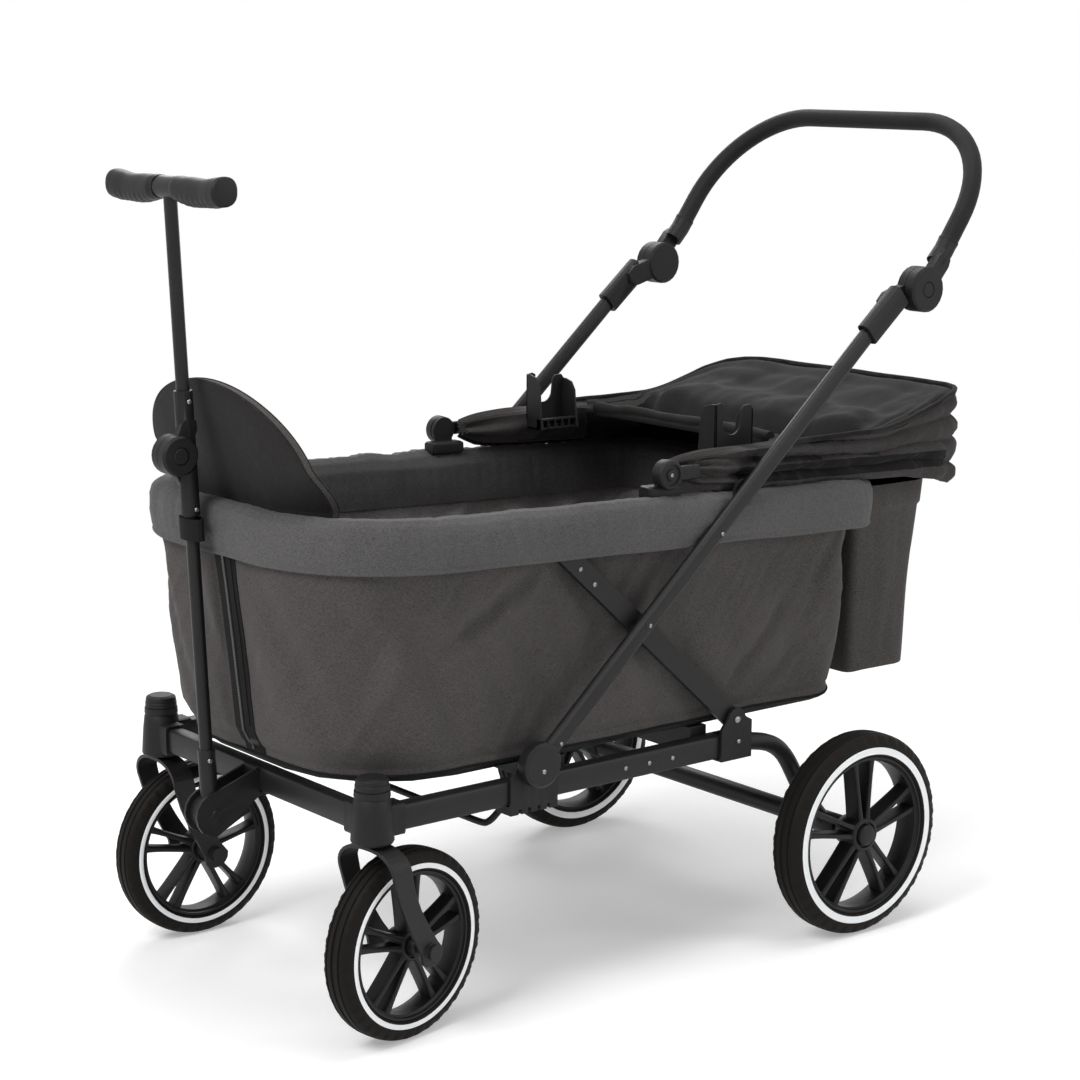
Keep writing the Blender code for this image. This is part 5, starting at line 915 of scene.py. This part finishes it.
def canopy_spot(v, u):
    """Point on the folded canopy's skin, u along it from hinge to hinge and v round its section."""
    half_u = 1 - abs(2 * u - 1)
    sign = -1 if u < 0.5 else 1
    outer, inner, bottom, top = canopy_station(half_u)
    run = inner - outer
    into = run.normalized()
    narrow = run.length < 0.07
    wide = 0 if narrow else min(run.length / 0.25, 1)
    gather = max(0, 1 - half_u / 0.17)
    seed = (half_u * 30, v * 4, sign * 3)
    floor = max(bottom + 0.004, COVER_TOP - 0.03) if narrow else COVER_TOP - 0.012
    if v < 0.46:  # bellows, from the bottom edge up
        share = v / 0.46
        folds = 2 + 2 * min(half_u * 1.5, 1)
        drift = 0.5 * crumple(seed, (0.16, 0, 1), 4) + 0.25 * crumple(seed, (0.7, 0, 1), 14)
        wave = abs(sin(pi * folds * share ** (1 + 0.3 * drift) + 0.8 * drift))
        deep = 0.013 * (1 - wave ** 0.8) * (0.45 + 0.55 * min(half_u * 3, 1)) - 0.0035
        deep += (0.0075 * crumple(seed, (0.8, 1.8, 1), 6) +
                 0.003 * crumple(seed, (3, 3, 1), 26))
        spot = outer + into * max(deep, -0.005)
        spot.z = bottom - 0.005 * (1 - share) + (top - bottom) * share
        spot.z += 0.005 * crumple(seed, (0.35, 1.2, 1), 9) * sin(pi * share)
    elif v < 0.78:  # cover
        share = (v - 0.46) / 0.32
        spot = outer.lerp(inner, share)
        hollow = 0.02 * wide
        dip = along_line([
            (0, 0), (0.07, -0.004 * (0.3 + wide)), (0.16, 0.001 * wide), (0.35, hollow * 0.6),
            (0.45, hollow * 0.35), (0.64, hollow), (0.86, hollow * 0.25), (0.94, -0.003 * wide),
            (1, 0)], share)[0]
        here = (spot.x, spot.y * sign, 0)
        edge = 0.397 + 0.008 * crumple((0, here[1]), (1, 7), 41)
        ahead = (edge - spot.x) / 0.01
        front = 1 / (1 + exp(min(max(-ahead * 2.4, -60), 60)))
        fan = 0.0075 * crumple(here, (7, 13, 1), 7)
        fine = 0.003 * crumple(here, (16, 34, 1), 17)
        cross = 0.0105 * crumple(here, (34, 6, 1), 27) * wide * (0.25 + 0.75 * front)
        lip = 0.011 * (1 - front) * exp(min(ahead, 0) / 9)
        lip -= 0.024 * front * exp(-max(ahead, 0) / 15)
        lip *= wide * unit((CANOPY_HALF - spot.y) / 0.04)
        lift = (fan + fine + cross + lip) * sin(pi * share) ** 0.6
        spot.z = top + (COVER_TOP - top) * share - dip + lift
    elif v < 0.86:  # front edge, turned down
        share = (v - 0.78) / 0.08
        spot = inner + into * 0.004 * sin(pi * share)
        spot.z = COVER_TOP + (floor - COVER_TOP) * share
    else:  # underside
        share = (v - 0.86) / 0.14
        under = bottom + 0.002 if narrow else COVER_TOP - 0.032
        middle = outer + run * 0.42
        if share < 0.6:
            spot = inner.lerp(middle, share / 0.6)
            spot.z = floor + (under - floor) * share / 0.6
        else:
            spot = middle.lerp(outer, (share - 0.6) / 0.4)
            spot.z = under + (bottom - under) * (share - 0.6) / 0.4
    if gather:
        centre = (outer + inner) / 2 + Vector((0, 0, (bottom + top) / 2))
        away = spot - centre
        away.x = 0
        pleat = sin(2 * pi * 11 * v + 2 * crumple(seed, (0.1, 1, 1), 3))
        spot += away * (gather * 0.2 * pleat - 0.12 * gather - 0.5 * gather ** 3)
    return Vector((spot.x, spot.y * sign, spot.z))


def canopy_cloth():
    """Bellows round the sides and rear, a slack cover and gathered front ends, with their trims."""
    mesh = skin(bmesh.new(), canopy_spot, 230, 300)
    for face in mesh.faces:
        middle = face.calc_center_median()
        side = abs(middle.y) > 0.235 and 0.13 < middle.x < 0.56
        low = rim_z(middle.x) + 0.034
        face.material_index = 1 if side and low + 0.006 < middle.z < low + 0.03 else 0
        rim = abs(middle.y) > 0.238 or middle.x > 0.585
        if face.material_index == 0 and (middle.x < 0.16 or rim and abs(face.normal.z) < 0.8):
            face.material_index = 2
    form("canopy", mesh, ["canopy cloth", "netting", "bellows cloth"], 70, "cloth")
    line = [canopy_spot(0.462, 0.12 + 0.76 * step / 160) + Vector((0, 0, 0.003)) for step in range(161)]
    trim = swept(bmesh.new(), line, 0.0042, 10, False)
    fit("canopy_edge_piping", trim, ["canopy cloth"], 60, "canopy", "cloth")
    line, girth = [], []
    for step in range(90):
        back, up, swell = [crumple((step * pace,), (1,), start)
                           for pace, start in ((0.1, 5), (0.08, 9), (0.11, 12))]
        spot = canopy_spot(0.775, 0.21 + 0.58 * step / 89)
        line.append(spot + Vector((-0.002 + 0.002 * back, 0, 0.003 + 0.003 * up)))
        girth.append(1 + 0.22 * swell)
    roll = swept(bmesh.new(), line, 0.0075, 16, True, girth)
    fit("canopy_front_roll", roll, ["canopy cloth"], 60, "canopy", "cloth")

    def hang(u, v):
        x, y, out_x, out_y = rim_at(0.39 + 0.22 * u, -0.004 + 0.018 * sin(pi * u) ** 0.5)
        sway = 0.0025 * crumple((u * 30, v), (1.2, 0.6), 18)
        low = rim_z(x) + 0.022
        return Vector((x + out_x * sway, y + out_y * sway, low + (0.708 - low) * v))
    curtain = skin(bmesh.new(), hang, 160, 10, False, False, thickness=0.0015)
    fit("canopy_rear_curtain", curtain, ["netting"], 60, "canopy", "cloth")


def canopy_fittings():
    """Hinge bases on the rim, barrels on the canopy and the open clips."""
    for side, sign in SIDES.items():
        base = bmesh.new()

        def block(u, v):
            end = 1 - 0.16 * (v < 0.04 or v > 0.96)
            across, up = oval(u, 0.0125 * end, 0.0095 * end, 0.35)
            x = HINGE.x - 0.031 + 0.058 * v
            return Vector((x, sign * (0.248 + across), rim_z(x) + 0.0375 + up))
        skin(base, block, 48, 30)

        def neck(u, v):
            along, across = oval(u, 0.0185 - 0.003 * sin(pi * v), 0.0035, 0.3)
            return Vector((HINGE.x + along, sign * (0.254 + across), rim_z(HINGE.x) + 0.04 + 0.0245 * v))
        skin(base, neck, 32, 10)
        lathe(base, [(0.2505, 0.001), (0.2505, 0.019), (0.2515, 0.02), (0.2565, 0.02), (0.2575, 0.019),
                     (0.2575, 0.001)], (HINGE.x, 0, HINGE.z), (0, sign, 0), 48)
        form("canopy_base_" + side, base, ["plastic"], 40, "plastic")
    barrels = bmesh.new()
    for sign in (-1, 1):
        reach = 0.2578
        profile = [(0, 0.006), (0, 0.0205), (0.0105, 0.021), (0.013, 0.0195), (0.014, 0.0175),
                   (0.014, 0.015), (0.0115, 0.0142), (0.0115, 0.0085), (0.0135, 0.0075), (0.014, 0.006),
                   (0.014, 0.001)]
        profile = [(reach + out, radius) for out, radius in profile]
        lathe(barrels, profile, (HINGE.x, 0, HINGE.z), (0, sign, 0), 56)

        def arm(u, v):
            a, b = oval(u, 0.0045, 0.0098, 0.4)
            return Vector((HINGE.x + 0.012 + 0.042 * v, sign * (reach + 0.0055 + a), HINGE.z + b))
        skin(barrels, arm, 24, 6)
    fit("canopy_barrels", barrels, ["plastic"], 40, "canopy", "plastic")
    for side, sign in SIDES.items():
        clip_piece(side, sign)


# Handles
LOOP_BEND = 0.165


def loop_points():
    """Centre line of the push handle's loop."""
    along = Vector((cos(radians(54.4)), 0, sin(radians(54.4))))
    neck = Vector((cos(radians(49.5)), 0, sin(radians(49.5))))
    start = Vector((0.456983, 0, 0.93445)) + neck * 0.085
    height = (0.648 - 0.014 / cos(pi / 10) - start.x) / along.x
    straight = height - LOOP_BEND
    half = [start + Vector((0, -ARM_Y, 0)) + along * straight * step / 4 for step in range(4)]
    for step in range(19):
        angle = pi / 2 * step / 18
        half.append(start + along * (straight + LOOP_BEND * sin(angle)) +
                    Vector((0, -ARM_Y + LOOP_BEND * (1 - cos(angle)), 0)))
    return half + [Vector((point.x, -point.y, point.z)) for point in reversed(half)]


def handle_pieces():
    """Foam loop, pull tube and the shaped grips."""
    mesh = bmesh.new()
    path = loop_points()
    swept(mesh, path, 0.014, 28, False)
    for end, after in ((path[0], path[1]), (path[-1], path[-2])):
        lip = [(-0.001, 0.002), (-0.001, 0.015), (0.004, 0.0152), (0.0052, 0.0146), (0.0052, 0.002)]
        lathe(mesh, lip, end, after - end, 40)
    form("foam_grip", mesh, ["foam"], 50, "foam")
    for node in ("push_handle_tube", "pull_upper_tube"):
        frame["nodes"][node].data.materials.clear()
        frame["nodes"][node].data.materials.append(paint["frame"])
    dressed("pull_upper_tube", "frame", "frame")
    dressed("handle_strap", "tape", "webbing", 0.0004)
    for side, sign in SIDES.items():
        low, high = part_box("pull_grip_" + side)
        centre = (Vector(low) + Vector(high)) / 2
        inner = min(abs(low[1]), abs(high[1]))
        outer = max(abs(low[1]), abs(high[1]))

        def place(u, v):
            y = inner + (outer - inner) * v
            swell = along_line([(0, 0.015, 0.015), (0.1, 0.0175, 0.0165), (0.35, 0.0168, 0.0185),
                                (0.62, 0.0162, 0.0178), (0.86, 0.0178, 0.019), (0.955, 0.0182, 0.019),
                                (0.965, 0.017, 0.0178), (0.975, 0.018, 0.0186), (0.99, 0.0172, 0.0178),
                                (1, 0.013, 0.0135)], v)
            a, b = oval(u, swell[0], swell[1], 0.85)
            ridge = 0.0006 * sin(v * 60) * (1 if b < 0 else 0) * (0.15 < v < 0.85)
            bow = -0.004 * sin(pi * v)
            return Vector((centre.x + a, sign * y, centre.z + b + bow + ridge))
        form("pull_grip_" + side, skin(bmesh.new(), place, 40, 90), ["plastic"], 50, "plastic")


def release_bar_piece():
    """Bent wire loop between the two slider blocks."""
    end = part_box("release_bar")[1][1]
    x = -0.262353
    top = 0.2807
    foot = top - 0.03
    reach = end - 0.018
    half = [(x, end, top), (x, end - 0.006, top), (x, end - 0.011, top), (x, end - 0.015, top),
            (x, reach, top - 0.001), (x - 0.004, reach - 0.006, top - 0.008),
            (x - 0.014, reach - 0.009, foot + 0.009), (x - 0.023, reach - 0.014, foot + 0.001),
            (x - 0.024, reach - 0.026, foot), (x - 0.024, reach * 0.6, foot)]
    points = [(a, -b, c) for a, b, c in half] + [(a, b, c) for a, b, c in reversed(half)]
    form("release_bar", swept(bmesh.new(), points, 0.0048, 20), ["plastic"], 50, "plastic")


def rear_leg_piece(side, sign):
    """Smoothly bent tube from the bracket down to the rear axle, with its boss."""
    node = "rear_leg_" + side
    low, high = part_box(node)
    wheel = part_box("rear_wheel_" + side)
    x, z = [(wheel[0][axis] + wheel[1][axis]) / 2 for axis in (0, 2)]
    y, radius = sign * RAIL_Y, 0.0128
    start = low[0]
    points = [(start, y, 0.3045), (start + 0.012, y, 0.3045), (start + 0.03, y, 0.304), (0.196, y, 0.297),
              (0.234, y, 0.269), (0.258, y, 0.22), (x - 0.027, y, 0.18), (x - 0.01, y, 0.16), (x, y, z)]
    mesh = swept(bmesh.new(), points, radius, 24)
    near = RAIL_Y - radius
    reach = max(abs(low[1]), abs(high[1])) - near
    lathe(mesh, [(0, 0.0165), (0.001, 0.0175), (reach - 0.001, 0.0175), (reach, 0.0165)],
          (x, sign * near, z), (0, sign, 0), 40)
    form(node, mesh, ["frame"], 50, "frame")


def fasteners():
    """Small plated screw heads on both sides, grouped by what carries them."""
    spots = {
        "struts": [(-0.1655, 0.593, 0.2733, 0.0036), (-0.1405, 0.569, 0.2733, 0.0036)],
        "push_arms": [(-0.247, 0.334, 0.3005, 0.0036), (-0.213, 0.365, 0.294, 0.003),
                      (-0.059, 0.505, 0.2945, 0.0032), (0.0715, 0.617, 0.2942, 0.003)],
        "rim": [(0.1135, 0.65, 0.2802, 0.0042), (0.132, 0.628, 0.2802, 0.0036)],
        "chassis": [(0.1185, 0.342, 0.2826, 0.0052), (0.1215, 0.31, 0.2826, 0.0034),
                    (-0.0835, 0.3045, 0.2756, 0.0034), (-0.0405, 0.3045, 0.2756, 0.0034),
                    (0.0025, 0.3045, 0.2756, 0.0034)],
        "pull_upper": [(-0.6055, 0.824, 0.0122, 0.0034)],
        "pull_lower": [(-0.5975, 0.682, 0.0122, 0.0034), (-0.5845, 0.342, 0.0122, 0.0034)],
        "canopy": [(HINGE.x, HINGE.z, 0.2712, 0.0032)],
    }
    for body, rows in spots.items():
        mesh = bmesh.new()
        for x, z, y, radius in rows:
            head = [(-0.002, radius), (0, radius), (0.001, radius * 0.85), (0.0016, radius * 0.5),
                    (0.0009, radius * 0.45), (0.0009, 0.0004)]
            for sign in (-1, 1):
                lathe(mesh, head, (x, sign * y, z), (0, sign, 0), 28)
        fit("screw_heads_" + body, mesh, ["steel"], 40, body, "frame")


def build_hard_parts():
    """Rails, forks, links and moulded fittings, with softened edges."""
    metal = ("front_crossbar", "floor_bar", "rear_axle", "pull_bracket", "top_rim", "pull_lower_tube",
             "side_rail", "caster_fork", "fold_strut", "push_arm")
    nodes = ["front_crossbar", "floor_bar_middle", "floor_bar_rear", "rear_axle", "floor_tray",
             "pull_bracket", "pull_joint_lower", "pull_joint_upper", "pull_joint_button", "top_rim",
             "pull_lower_tube"]
    for side in SIDES:
        nodes += [stem + side for stem in (
            "side_rail_", "rear_bracket_", "caster_housing_", "caster_cap_", "caster_fork_", "fold_strut_",
            "push_arm_", "slider_block_", "arm_collar_", "handle_hinge_", "hinge_button_")]
    for node in nodes:
        kind = "frame" if node.startswith(metal) else "plastic"
        dressed(node, kind, kind)


paint = {
    "floor": floor_white(),
    "frame": coated("satin black paint", (0.007, 0.007, 0.0073), (0.014, 0.0138, 0.0136),
                    (22, 4), (0.16, 0.34), (900, 0.25, 0.0004), Specular_IOR_Level=0.24),
    "plastic": coated("moulded black plastic", (0.0075, 0.0075, 0.0077), (0.0135, 0.0135, 0.0137),
                      (30, 3), (0.14, 0.42), (1400, 0.35, 0.0004), Specular_IOR_Level=0.2),
    "wheel": coated("wheel plastic", (0.006, 0.006, 0.0062), (0.011, 0.011, 0.0112),
                    (30, 3), (0.14, 0.34), (1800, 0.35, 0.0004), Specular_IOR_Level=0.2),
    "tyre": coated("tyre rubber", (0.004, 0.0034, 0.0029), (0.01, 0.0084, 0.0074),
                   (60, 5, 0.65), (0.2, 0.52), (700, 0.35, 0.0006), Specular_IOR_Level=0.12),
    "ring": coated("white side band", (0.8, 0.82, 0.83), (0.93, 0.94, 0.95), (40, 4), (0.15, 0.35)),
    "steel": coated("zinc steel", (0.19, 0.19, 0.195), (0.33, 0.33, 0.335), (500, 3), (0.2, 0.22),
                    Metallic=1),
    "foam": foam_skin(),
    "zip": zip_teeth(),
    "tape": woven_tape("black strap", (0.005, 0.005, 0.0052), (0.0135, 0.0133, 0.0131)),
    "cloth": melange("dark melange cloth", (0.0215, 0.0196, 0.0193), (0.12, 0.1095, 0.1075)),
    "bellows cloth": melange("bellows melange cloth", (0.013, 0.0119, 0.0116), (0.073, 0.0667, 0.0655)),
    # canopy cover cloth, with painted shade on the strip in front of its lip
    "canopy cloth": melange("canopy melange cloth", (0.005, 0.0048, 0.0047), (0.031, 0.0297, 0.029),
                            lip_shade=True),
    "panel cloth": melange("panel melange cloth", (0.0055, 0.0051, 0.005), (0.031, 0.0286, 0.0282)),
    # lining: its own cloth colour, lightened well past the outer cloth as painted light inside the tub
    "lining": melange("lining melange cloth with painted light", (0.09, 0.086, 0.085), (0.39, 0.368, 0.364)),
    "netting": melange("mosquito netting", (0.003, 0.003, 0.003), (0.012, 0.0117, 0.0115), 2),
    # darker copy of the rim cloth for the sleeve's inner side: painted shade
    "inner rim cloth": melange("rim melange cloth in painted shade", (0.024, 0.023, 0.023), (0.105, 0.1005, 0.1005)),
    "rim cloth": melange("rim melange cloth", (0.034, 0.033, 0.033), (0.15, 0.145, 0.146)),
}
bpy.context.scene.view_settings.view_transform = "Standard"
build_stage()
build_wheels()
build_hard_parts()
rim_sleeve_piece()
bag_piece()
front_zip()
front_panel_piece()
rear_pocket_piece()
canopy_cloth()
canopy_fittings()
handle_pieces()
release_bar_piece()
for side, sign in SIDES.items():
    rear_leg_piece(side, sign)
fasteners()
